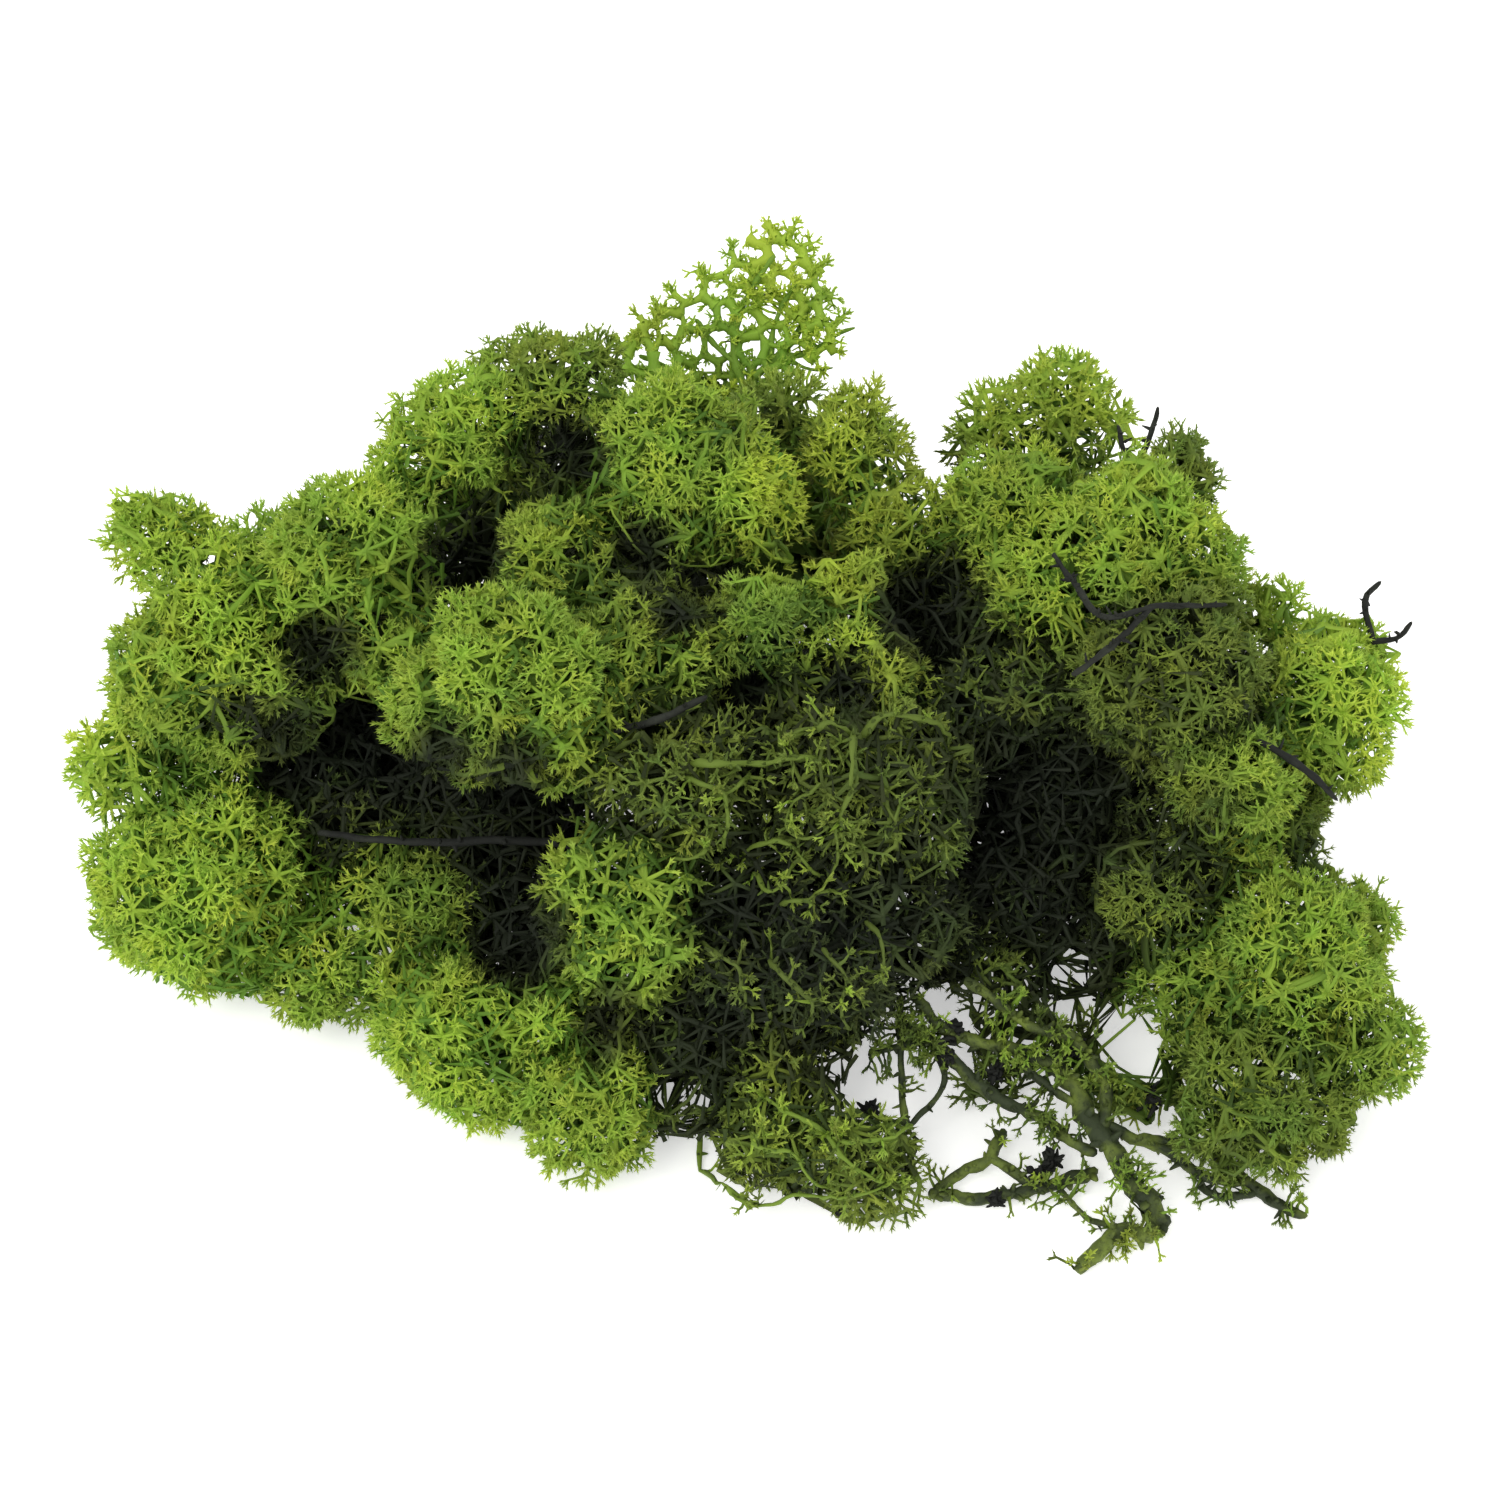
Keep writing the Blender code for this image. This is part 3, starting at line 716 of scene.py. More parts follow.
RIGHT_STEM = (
    Strand(
        (
            (35.6, -37.6, 6.0, 0.5), (38.3, -38.7, 5.4, 0.6), (42.3, -39.3, 4.2, 0.6),
            (45.7, -40.0, 3.2, 0.6), (49.0, -42.7, 2.2, 0.62), (52.0, -44.7, 1.4, 0.6),
            (54.0, -46.0, 1.1, 0.5), (55.7, -46.5, 1.0, 0.38),
        )
    ),
    Strand(
        (
            (38.3, -38.7, 5.4, 0.5), (42.3, -40.5, 3.8, 0.5),
            (45.7, -42.7, 2.6, 0.5), (49.2, -43.3, 2.0, 0.5),
        )
    ),
    Strand(
        (
            (45.0, -43.6, 1.0, 0.35), (46.2, -44.4, 1.1, 0.4),
            (48.0, -44.7, 1.2, 0.42), (50.6, -44.2, 1.6, 0.42),
        ),
        rub=0.1,
    ),
)
LONG_TWIG = (
    Strand(
        (
            (-43.0, -8.3, 19.0, 0.3), (-34.0, -9.2, 19.5, 0.38),
            (-24.0, -9.1, 19.4, 0.42), (-15.5, -9.6, 19.0, 0.4),
        )
    ),
)
CENTRE_TWIG = (Strand(((-13.5, 1.8, 35.7, 0.3), (-9.1, 3.1, 37.5, 0.4), (-4.4, 5.3, 37.6, 0.28))),)
LOW_TWIG = (
    Strand(
        (
            (50.9, 0.9, 34.0, 0.28), (53.8, -0.7, 34.0, 0.38),
            (56.3, -2.6, 33.0, 0.36), (58.6, -4.9, 32.0, 0.26),
        )
    ),
)
TIP_TWIG = (
    Strand(((62.2, 11.0, 30.0, 0.32), (61.5, 14.9, 32.0, 0.34), (63.0, 16.8, 33.0, 0.26))),
    Strand(((62.2, 10.8, 30.0, 0.3), (64.6, 11.2, 30.4, 0.28), (66.1, 12.7, 31.2, 0.24))),
)
TOP_TWIG = (
    Strand(((38.6, 28.0, 35.0, 0.34), (40.4, 32.4, 38.0, 0.3), (40.8, 34.2, 39.0, 0.24))),
    Strand(((38.9, 28.8, 35.4, 0.28), (37.6, 29.8, 36.0, 0.28), (36.8, 32.4, 37.4, 0.22))),
)
BENT_TWIG = (
    Strand(
        (
            (30.4, 19.5, 42.0, 0.24), (32.8, 16.2, 43.2, 0.3), (35.3, 13.3, 43.8, 0.3),
            (40.7, 14.3, 43.9, 0.28), (47.5, 14.5, 42.0, 0.22),
        )
    ),
    Strand(((32.3, 7.6, 40.0, 0.26), (35.3, 9.7, 42.0, 0.34), (40.2, 14.1, 43.9, 0.26))),
)

STEMS: dict[str, StemPlan] = {
    "stem_hooked": StemPlan(
        Slot.STEM,
        HOOKED,
        sprouts=19,
        knobs=9,
        dullness=0.42,
        rough=0.26,
        crumbs=(
            (20.4, -28.2, 9.6, 1.9), (30.0, -41.2, 2.4, 1.7),
            (35.4, -23.4, 4.0, 2.2), (33.0, -30.0, 8.2, 1.2),
        ),
    ),
    "stem_left": StemPlan(
        Slot.STEM,
        LEFT_STEM,
        sprouts=24,
        knobs=8,
        dullness=0.6,
        rough=0.26,
        crumbs=(
            (12.0, -36.0, 3.0, 1.3), (19.4, -30.6, 8.0, 1.5),
            (24.6, -32.4, 7.0, 1.4), (9.0, -46.2, 1.4, 1.2),
        ),
    ),
    "stem_forked": StemPlan(
        Slot.STEM,
        FORKED,
        sprouts=8,
        knobs=7,
        dullness=0.45,
        rough=0.24,
        crumbs=((24.6, -44.9, 1.6, 1.2), (28.6, -42.6, 1.8, 1.4)),
    ),
    "stem_right": StemPlan(
        Slot.STEM,
        RIGHT_STEM,
        sprouts=12,
        knobs=8,
        dullness=0.5,
        rough=0.26,
        crumbs=((40.2, -34.8, 5.0, 1.8), (47.5, -42.0, 2.4, 1.0)),
    ),
    "twig_left_long": StemPlan(Slot.TWIG, LONG_TWIG, knobs=3),
    "twig_centre": StemPlan(Slot.TWIG, CENTRE_TWIG, knobs=4),
    "twig_bent": StemPlan(Slot.TWIG, BENT_TWIG, knobs=9, rough=0.3),
    "twig_right_low": StemPlan(Slot.TWIG, LOW_TWIG),
    "twig_right_tip": StemPlan(Slot.TWIG, TIP_TWIG, knobs=8),
    "twig_top": StemPlan(Slot.TWIG, TOP_TWIG, knobs=8),
}


@dataclass(frozen=True)
class Spot:
    """A round part of the photo's view, where the growth has a dye or a depth of its own, a painted shade
    or a painted highlight, or is left out.

    Attributes:
        across: How far right of the picture's centre it is, in millimetres.
        up: How far above it.
        reach: How far it spreads, in millimetres.
        warmth: How much warmer its green is; in places a painted highlight.
        dullness: How much less dye it took; below 0 it is livelier, in places as a painted highlight.
        hollow_and_painted_shade: How deep the growth lies back there, as a share of a pocket that light
            hardly reaches; the growth there is also painted darker, a painted shade.
        swell: How far the growth stands out further there, in millimetres.
    """

    across: float
    up: float
    reach: float
    warmth: float = 0.0
    dullness: float = 0.0
    hollow_and_painted_shade: float = 0.0
    swell: float = 0.0

    def apart(self, seen: Array) -> Array:
        """How far places in the picture are from its middle, in millimetres."""
        return np.linalg.norm(seen - np.array([self.across, self.up]), axis=1)


SPOTS = (
    # Warmer, livelier patches. The first, on the right rim of the big top head, and the third, at the top
    # of the fan, are painted highlights for light that comes through from behind.
    Spot(5.0, 26.0, 5.0, 0.8, -0.5), Spot(2.0, 19.0, 5.0, 0.3, -0.2), Spot(3.0, 50.0, 7.0, 0.3),
    Spot(-46.0, -19.0, 8.0, 0.25, -0.2),
    # Shoots that stand out further at the clump's edge.
    Spot(-20.0, 41.0, 8.0, swell=1.3), Spot(-64.0, 24.0, 4.0, swell=1.3), Spot(-63.0, 13.0, 4.0, swell=1.0),
    Spot(-64.5, -18.0, 4.5, swell=1.5), Spot(11.0, 36.5, 4.0, swell=1.5), Spot(18.5, 27.5, 4.0, swell=1.5),
    Spot(42.0, 31.0, 4.5, swell=1.3), Spot(49.0, 18.0, 5.0, swell=1.6), Spot(63.5, 10.0, 4.5, swell=1.3),
    Spot(59.5, -3.5, 3.5, swell=1.3), Spot(64.0, -24.0, 4.5, swell=1.2), Spot(57.0, -41.0, 5.5, swell=1.2),
    Spot(12.0, -46.5, 6.0, swell=1.2),
    # Pockets between the heads: the growth lies deeper there and is painted darker, a painted shade.
    Spot(-19.0, 30.5, 3.4, hollow_and_painted_shade=1.0), Spot(-28.5, 20.5, 3.2, hollow_and_painted_shade=0.9),
    Spot(-10.5, 20.0, 3.0, hollow_and_painted_shade=1.0), Spot(-6.5, 15.0, 3.2, hollow_and_painted_shade=1.0),
    Spot(-43.0, 10.0, 4.0, hollow_and_painted_shade=0.8), Spot(-51.0, 3.0, 3.5, hollow_and_painted_shade=0.7),
    Spot(-46.0, 0.5, 4.5, hollow_and_painted_shade=1.0), Spot(-32.0, -1.5, 4.0, hollow_and_painted_shade=1.0),
    Spot(-24.0, -3.5, 4.0, hollow_and_painted_shade=1.0), Spot(-23.0, -19.0, 4.5, hollow_and_painted_shade=1.0),
    Spot(-14.0, -27.5, 3.5, hollow_and_painted_shade=0.7), Spot(-1.0, -17.0, 4.0, hollow_and_painted_shade=0.9),
    Spot(18.0, 14.0, 4.5, hollow_and_painted_shade=1.0), Spot(10.0, 7.0, 3.2, hollow_and_painted_shade=0.9), Spot(1.5, 33.0, 4.5, hollow_and_painted_shade=0.2),
    Spot(29.0, -6.0, 7.5, hollow_and_painted_shade=1.0), Spot(45.0, -6.5, 4.0, hollow_and_painted_shade=0.4),
)
# Gaps in the front growth where the photo shows the table.
CLEARINGS = (
    Spot(-7.0, -35.0, 2.8), Spot(12.0, -33.2, 3.0), Spot(17.0, -34.0, 2.6), Spot(21.5, -25.2, 2.2),
    Spot(25.0, -27.0, 2.4), Spot(27.5, -29.0, 1.7), Spot(32.0, -22.0, 2.3), Spot(32.8, -26.0, 2.0),
    Spot(37.0, -29.0, 3.2), Spot(39.8, -32.2, 2.4), Spot(24.0, -39.0, 4.0), Spot(29.0, -40.0, 2.5),
)


def unit(rows: Array) -> Array:
    """Scales each row to a length of 1."""
    return rows / np.maximum(np.linalg.norm(rows, axis=-1, keepdims=True), 1e-12)


def sideways(ways: Array) -> Array:
    """A direction at a right angle to each row."""
    aside = np.where(np.abs(ways[:, :1]) < 0.8, [[1.0, 0.0, 0.0]], [[0.0, 1.0, 0.0]])
    return unit(np.cross(ways, aside))


def aimed(axis: Array, turn: Array, angle: Array) -> Array:
    """Directions at an angle from an axis, turned about it.

    Args:
        axis: The axes, (n, 3).
        turn: How far round, in radians.
        angle: How far off the axis, in radians.

    Returns:
        The directions, (n, 3).
    """
    side = sideways(axis)
    other = np.cross(axis, side)
    flat = side * np.cos(turn)[:, None] + other * np.sin(turn)[:, None]
    return axis * np.cos(angle)[:, None] + flat * np.sin(angle)[:, None]


def curve(stops: Array, gap: float) -> Array:
    """A smooth curve through stops.

    Args:
        stops: What it passes through, (n, columns), the first columns being the place.
        gap: About how far apart its points lie.

    Returns:
        The points, with the other columns carried along.
    """
    ends = np.concatenate([2 * stops[:1] - stops[1:2], stops, 2 * stops[-1:] - stops[-2:-1]])
    rows = []
    for before, start, end, after in zip(ends, ends[1:], ends[2:], ends[3:]):
        count = max(round(float(np.linalg.norm((end - start)[:3])) / gap), 1)
        share = np.arange(count)[:, None] / count
        turn = (2 * before - 5 * start + 4 * end - after) * share**2
        twist = (3 * start - before - 3 * end + after) * share**3
        rows.append((2 * start + (end - before) * share + turn + twist) / 2)
    rows.append(stops[-1:])
    return np.concatenate(rows)


def noise_at(points: Array, patch: float) -> Array:
    """Smooth noise from about -1 to 1 at each point, in patches so many metres wide."""
    return np.array([noise.noise(Vector(point / patch)) for point in points])


def tree_of(points: Array) -> KDTree:
    """Builds a search tree over points.

    Args:
        points: The places, (n, 3).

    Returns:
        The tree, which finds them by number.
    """
    tree = KDTree(len(points))
    for index, point in enumerate(points):
        tree.insert(point, index)
    tree.balance()
    return tree


def nearest(points: Array, targets: Array) -> Array:
    """Finds the nearest target of each point.

    Args:
        points: Where to look from, (n, 3).
        targets: What to look for, (m, 3).

    Returns:
        Each point's target, by number.
    """
    tree = tree_of(targets)
    return np.array([tree.find(point)[1] for point in points], int)


def thinned(points: Array, spacing: Array) -> Array:
    """Keeps points that stand at least their spacing apart, taking them in the order given.

    Args:
        points: The candidates, (n, 3).
        spacing: How near to a kept one each may be, (n,).

    Returns:
        The numbers of the kept points.
    """
    cell = float(spacing.max())
    cells: dict[tuple[int, int, int], list[int]] = {}
    kept = []
    places = points.tolist()
    for index, (x, y, z) in enumerate(places):
        key = (int(x // cell), int(y // cell), int(z // cell))
        near = (
            other
            for i in (-1, 0, 1)
            for j in (-1, 0, 1)
            for k in (-1, 0, 1)
            for other in cells.get((key[0] + i, key[1] + j, key[2] + k), ())
        )
        least = float(spacing[index]) ** 2
        free = True
        for other in near:
            a, b, c = places[other]
            if (a - x) ** 2 + (b - y) ** 2 + (c - z) ** 2 < least:
                free = False
                break
        if free:
            kept.append(index)
            cells.setdefault(key, []).append(index)
    return np.array(kept, int)


class BranchMesh:
    """Gathers tapered branches and joins them into one mesh.

    A branch is a row of points, each with a radius. A ring of corners goes round each point, and the last
    point is a tip that the sides close on. Fine growth has three corners, one of them on the ridge that
    faces out of the tuft, and leaves out the side that faces into it.
    """

    LOWEST = 0.15 * MM

    def __init__(self) -> None:
        """Starts with no branches, and the next ones take the first material."""
        self.paint = 0
        self.corners: list[Array] = []
        self.traits: list[Array] = []
        self.quads: list[Array] = []
        self.triangles: list[Array] = []
        self.paints: tuple[list[int], list[int]] = ([], [])
        self.count = 0

    def add(
        self, points: Array, radii: Array, traits: Array, ridge: Array, sides: int = 3, closed: bool = False
    ) -> None:
        """Adds branches that have the same number of points.

        Args:
            points: Where they run, (branches, points, 3).
            radii: Their radius at each point but the last, (branches, points - 1), or at each corner of its
                ring, (branches, points - 1, sides).
            traits: Age, openness, warmth and dullness at each point, (branches, points, 4).
            ridge: The way out of the tuft at each branch, (branches, 3).
            sides: How many corners a ring has.
            closed: Whether the side that faces into the tuft is kept.
        """
        total, length, _ = points.shape
        if total == 0:
            return
        points = points.copy()
        points[:, :, 2] = np.maximum(points[:, :, 2], self.LOWEST)
        rings = length - 1
        heading = unit(points[:, 1:] - points[:, :-1])
        heading[:, 1:] = unit(heading[:, 1:] + heading[:, :-1])
        outward = np.broadcast_to(ridge[:, None], heading.shape)
        first = outward - heading * np.sum(outward * heading, axis=-1, keepdims=True)
        lost = np.linalg.norm(first, axis=-1) < 0.05
        first[lost] = np.cross(heading[lost], np.array([0.36, 0.48, 0.8]))
        first = unit(first)
        second = np.cross(heading, first)
        angles = (np.arange(sides) - 1) * (2 * math.pi / sides)
        swing = first[:, :, None] * np.cos(angles)[:, None] + second[:, :, None] * np.sin(angles)[:, None]
        radii = radii.reshape(total, rings, -1, 1)
        rim = points[:, :-1, None] + swing * radii
        corners = np.concatenate([rim.reshape(total, rings * sides, 3), points[:, -1:]], axis=1)
        rim_traits = np.repeat(traits[:, :-1], sides, axis=1)
        per_branch = rings * sides + 1
        start = self.count + np.arange(total)[:, None] * per_branch
        here = np.arange(sides if closed else sides - 1)
        there = (here + 1) % sides
        for ring in range(rings - 1):
            low, high = ring * sides, (ring + 1) * sides
            face = np.stack([low + here, low + there, high + there, high + here], axis=1)
            self.quads.append((start[:, :, None] + face).reshape(-1, 4))
            self.paints[0].extend([self.paint] * (total * len(here)))
        last = (rings - 1) * sides
        face = np.stack([last + here, last + there, np.full(len(here), per_branch - 1)], axis=1)
        self.triangles.append((start[:, :, None] + face).reshape(-1, 3))
        self.paints[1].extend([self.paint] * (total * len(here)))
        self.corners.append(corners.reshape(-1, 3))
        self.traits.append(np.concatenate([rim_traits, traits[:, -1:]], axis=1).reshape(-1, 4))
        self.count += total * per_branch

    def add_prongs(self, start: Array, end: Array, side: Array, traits: Array) -> None:
        """Adds the finest prongs, each a flat blade that narrows to its tip.

        Args:
            start: Where they leave their twiglets, (n, 3).
            end: Their tips, (n, 3).
            side: The way across each, as long as half its width, (n, 3).
            traits: Age, openness, warmth and dullness at the start and at the tip, (n, 2, 4).
        """
        corners = np.stack([start - side, start + side, end], axis=1)
        corners[:, :, 2] = np.maximum(corners[:, :, 2], self.LOWEST)
        self.corners.append(corners.reshape(-1, 3))
        self.traits.append(traits[:, [0, 0, 1]].reshape(-1, 4))
        self.triangles.append(self.count + np.arange(3 * len(start)).reshape(-1, 3))
        self.paints[1].extend([self.paint] * len(start))
        self.count += 3 * len(start)

    @property
    def size(self) -> int:
        """How many triangles the mesh has."""
        return sum(len(rows) for rows in self.triangles) + 2 * sum(len(rows) for rows in self.quads)

    def build(self, name: str, materials: Iterable[bpy.types.Material]) -> bpy.types.Object:
        """Makes the mesh.

        Args:
            name: The object's name.
            materials: Its materials, in the order of the paints.

        Returns:
            The object.
        """
        corners = np.concatenate(self.corners)
        quads = np.concatenate(self.quads)
        triangles = np.concatenate(self.triangles)
        mesh = bpy.data.meshes.new(name)
        mesh.vertices.add(len(corners))
        mesh.vertices.foreach_set("co", corners.astype(np.float32).ravel())
        mesh.loops.add(quads.size + triangles.size)
        around = np.concatenate([quads.ravel(), triangles.ravel()])
        mesh.loops.foreach_set("vertex_index", around.astype(np.int32))
        mesh.polygons.add(len(quads) + len(triangles))
        starts = np.concatenate([np.arange(len(quads)) * 4, quads.size + np.arange(len(triangles)) * 3])
        mesh.polygons.foreach_set("loop_start", starts.astype(np.int32))
        mesh.polygons.foreach_set("material_index", np.array(self.paints[0] + self.paints[1], np.int32))
        mesh.update(calc_edges=True)
        mesh.shade_smooth()
        growth = mesh.attributes.new("growth", "FLOAT_COLOR", "POINT")
        growth.data.foreach_set("color", np.concatenate(self.traits).astype(np.float32).ravel())
        for material in materials:
            mesh.materials.append(material)
        obj = bpy.data.objects.new(name, mesh)
        bpy.context.scene.collection.objects.link(obj)
        return obj


class Skin:
    """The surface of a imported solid, as triangles with a normal at each corner."""

    def __init__(self, node: bpy.types.Object) -> None:
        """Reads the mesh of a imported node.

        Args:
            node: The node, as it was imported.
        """
        mesh = node.data
        mesh.calc_loop_triangles()
        places = np.empty(len(mesh.vertices) * 3, np.float32)
        mesh.vertices.foreach_get("co", places)
        places = places.reshape(-1, 3).astype(float)
        world = np.array(node.matrix_world)
        places = places @ world[:3, :3].T + world[:3, 3]
        faces = np.empty(len(mesh.loop_triangles) * 3, np.int32)
        mesh.loop_triangles.foreach_get("vertices", faces)
        self.places = places
        self.faces = faces.reshape(-1, 3)
        self.corners = places[self.faces]
        sides = np.cross(self.corners[:, 1] - self.corners[:, 0], self.corners[:, 2] - self.corners[:, 0])
        self.areas = np.linalg.norm(sides, axis=1) / 2
        self.normals = unit(sides)
        self.soft = self._soft_normals()
        self.middle = np.average(self.corners.mean(axis=1), axis=0, weights=self.areas)
        self.search = BVHTree.FromPolygons(places.tolist(), self.faces.tolist())

    def _soft_normals(self, sharp: float = 0.75) -> Array:
        """Averages the normals of faces that meet in a corner at less than a sharp angle.

        Args:
            sharp: The cosine above which two faces count as one round surface.

        Returns:
            A normal for each corner of each triangle, (triangles, 3, 3).
        """
        keys: dict[tuple[int, int, int], list[int]] = {}
        rounded = np.round(self.corners / (0.01 * MM)).astype(int)
        for face, three in enumerate(rounded.tolist()):
            for corner in three:
                keys.setdefault(tuple(corner), []).append(face)
        soft = np.empty_like(self.corners)
        for face, three in enumerate(rounded.tolist()):
            own = self.normals[face]
            for index, corner in enumerate(three):
                around = keys[tuple(corner)]
                alike = [other for other in around if self.normals[other] @ own > sharp]
                soft[face, index] = (self.normals[alike] * self.areas[alike, None]).sum(axis=0)
        return unit(soft)

    def scatter(self, count: int, rng: np.random.Generator, swell: float = 0.7) -> tuple[Array, Array]:
        """Spreads random points evenly over the surface, bulged out to make the facets round.

        Args:
            count: How many.
            rng: Where they fall.
            swell: How much of the round form is given back, from 0 to 1.

        Returns:
            The points and their normals.
        """
        face = rng.choice(len(self.areas), count, p=self.areas / self.areas.sum())
        root = np.sqrt(rng.random(count))
        share = rng.random(count)
        weights = np.stack([1 - root, root * (1 - share), root * share], axis=1)
        flat = np.einsum("nk,nkc->nc", weights, self.corners[face])
        normals = unit(np.einsum("nk,nkc->nc", weights, self.soft[face]))
        away = flat[:, None] - self.corners[face]
        lift = np.einsum("nkc,nkc->nk", away, self.soft[face])
        bulge = -np.einsum("nk,nk,nkc->nc", weights, lift, self.soft[face])
        return flat + swell * bulge, normals

    def room(self, point: Array, inward: Array) -> float:
        """How far it is through the solid from a point on the skin.

        Args:
            point: The place on the skin, or just above it where the skin was rounded.
            inward: The way in.

        Returns:
            The distance to the far side.
        """
        way = Vector(inward)
        base = Vector(point)
        entry = self.search.ray_cast(base - way * MM, way, 6 * MM)
        if entry[0] is not None and entry[1].dot(way) < 0:
            base = entry[0]
        leave = self.search.ray_cast(base + way * (0.05 * MM), way)
        return leave[3] if leave[0] is not None else 0.0


class Mass:
    """The blurred mass of all the solids, which bridges the creases where tufts press on each other.

    It is a grid of how full the space round each cell is, from 0 to 1. On a flat skin it is a half, on a
    dome less, in a crease more. The same blur carries the tufts' looks across their borders.
    """

    def __init__(
        self,
        skins: dict[str, Skin],
        plans: dict[str, TuftPlan],
        cell: float = 1.0 * MM,
        blur: float = 2.4,
        rim: int = 9,
    ) -> None:
        """Fills the grid.

        Args:
            skins: The solids' surfaces, by node.
            plans: The tufts' plans, by node.
            cell: The grid's spacing.
            blur: How far the mass is blurred, in cells.
            rim: How many empty cells are left round it.
        """
        low = np.min([skin.places.min(axis=0) for skin in skins.values()], axis=0)
        high = np.max([skin.places.max(axis=0) for skin in skins.values()], axis=0)
        self.cell = cell
        self.start = low - rim * cell
        shape = np.ceil((high - low) / cell).astype(int) + 2 * rim + 1
        layers = np.zeros((3, *shape), np.float32)
        for name, plan in plans.items():
            for i, j, bottom, top in self._columns(skins[name]):
                layers[:, i, j, bottom:top] = np.array([1, plan.dullness, plan.warmth])[:, None]
        # The table mirrors the mass, so that the skin near it isn't pulled in.
        layers[:, :, :, :rim] = layers[:, :, :, 2 * rim - 1 : rim - 1 : -1]
        reach = np.arange(-rim + 1, rim)
        kernel = np.exp(-0.5 * (reach / blur) ** 2)
        kernel /= kernel.sum()
        for axis in range(1, 4):
            layers = sum(weight * np.roll(layers, shift, axis) for weight, shift in zip(kernel, reach))
        self.full, self.dullness, self.warmth = layers

    def _columns(self, skin: Skin) -> Iterator[tuple[int, int, int, int]]:
        """Finds the cells inside one solid, column by column.

        Args:
            skin: The solid's surface.

        Yields:
            A column's place in the grid, and its first cell and the one past its last.
        """
        first = np.ceil((skin.places.min(axis=0) - self.start) / self.cell).astype(int)
        last = np.floor((skin.places.max(axis=0) - self.start) / self.cell).astype(int)
        up = Vector((0, 0, 1))
        for i in range(first[0], last[0] + 1):
            for j in range(first[1], last[1] + 1):
                x, y = self.start[:2] + np.array([i, j]) * self.cell
                heights = []
                foot = Vector((x, y, -MM))
                while (hit := skin.search.ray_cast(foot, up)[0]) is not None:
                    heights.append((hit.z - self.start[2]) / self.cell)
                    foot = hit + up * (0.02 * MM)
                for bottom, top in zip(heights[::2], heights[1::2]):
                    yield i, j, math.ceil(bottom), int(top) + 1

    def at(self, layer: Array, points: Array) -> Array:
        """A layer's value at each point.

        Args:
            layer: One of the grid's layers.
            points: Where, (n, 3).

        Returns:
            The value at each.
        """
        place = (points - self.start) / self.cell
        place = np.clip(place, 0, np.array(layer.shape) - 1.001)
        low = place.astype(int)
        share = place - low
        total = np.zeros(len(points))
        for corner in np.ndindex(2, 2, 2):
            weight = np.prod(np.where(corner, share, 1 - share), axis=1)
            total += weight * layer[tuple((low + corner).T)]
        return total

    def look(self, layer: Array, points: Array) -> Array:
        """One of the tufts' looks at each point, blurred across their borders."""
        return self.at(layer, points) / np.maximum(self.at(self.full, points), 1e-3)

    def way_out(self, points: Array) -> Array:
        """Finds the way out of the mass, where it grows thinner fastest.

        Args:
            points: Where, (n, 3).

        Returns:
            The way at each, (n, 3).
        """
        steps = np.eye(3) * self.cell
        slopes = [self.at(self.full, points - step) - self.at(self.full, points + step) for step in steps]
        return unit(np.stack(slopes, axis=1))


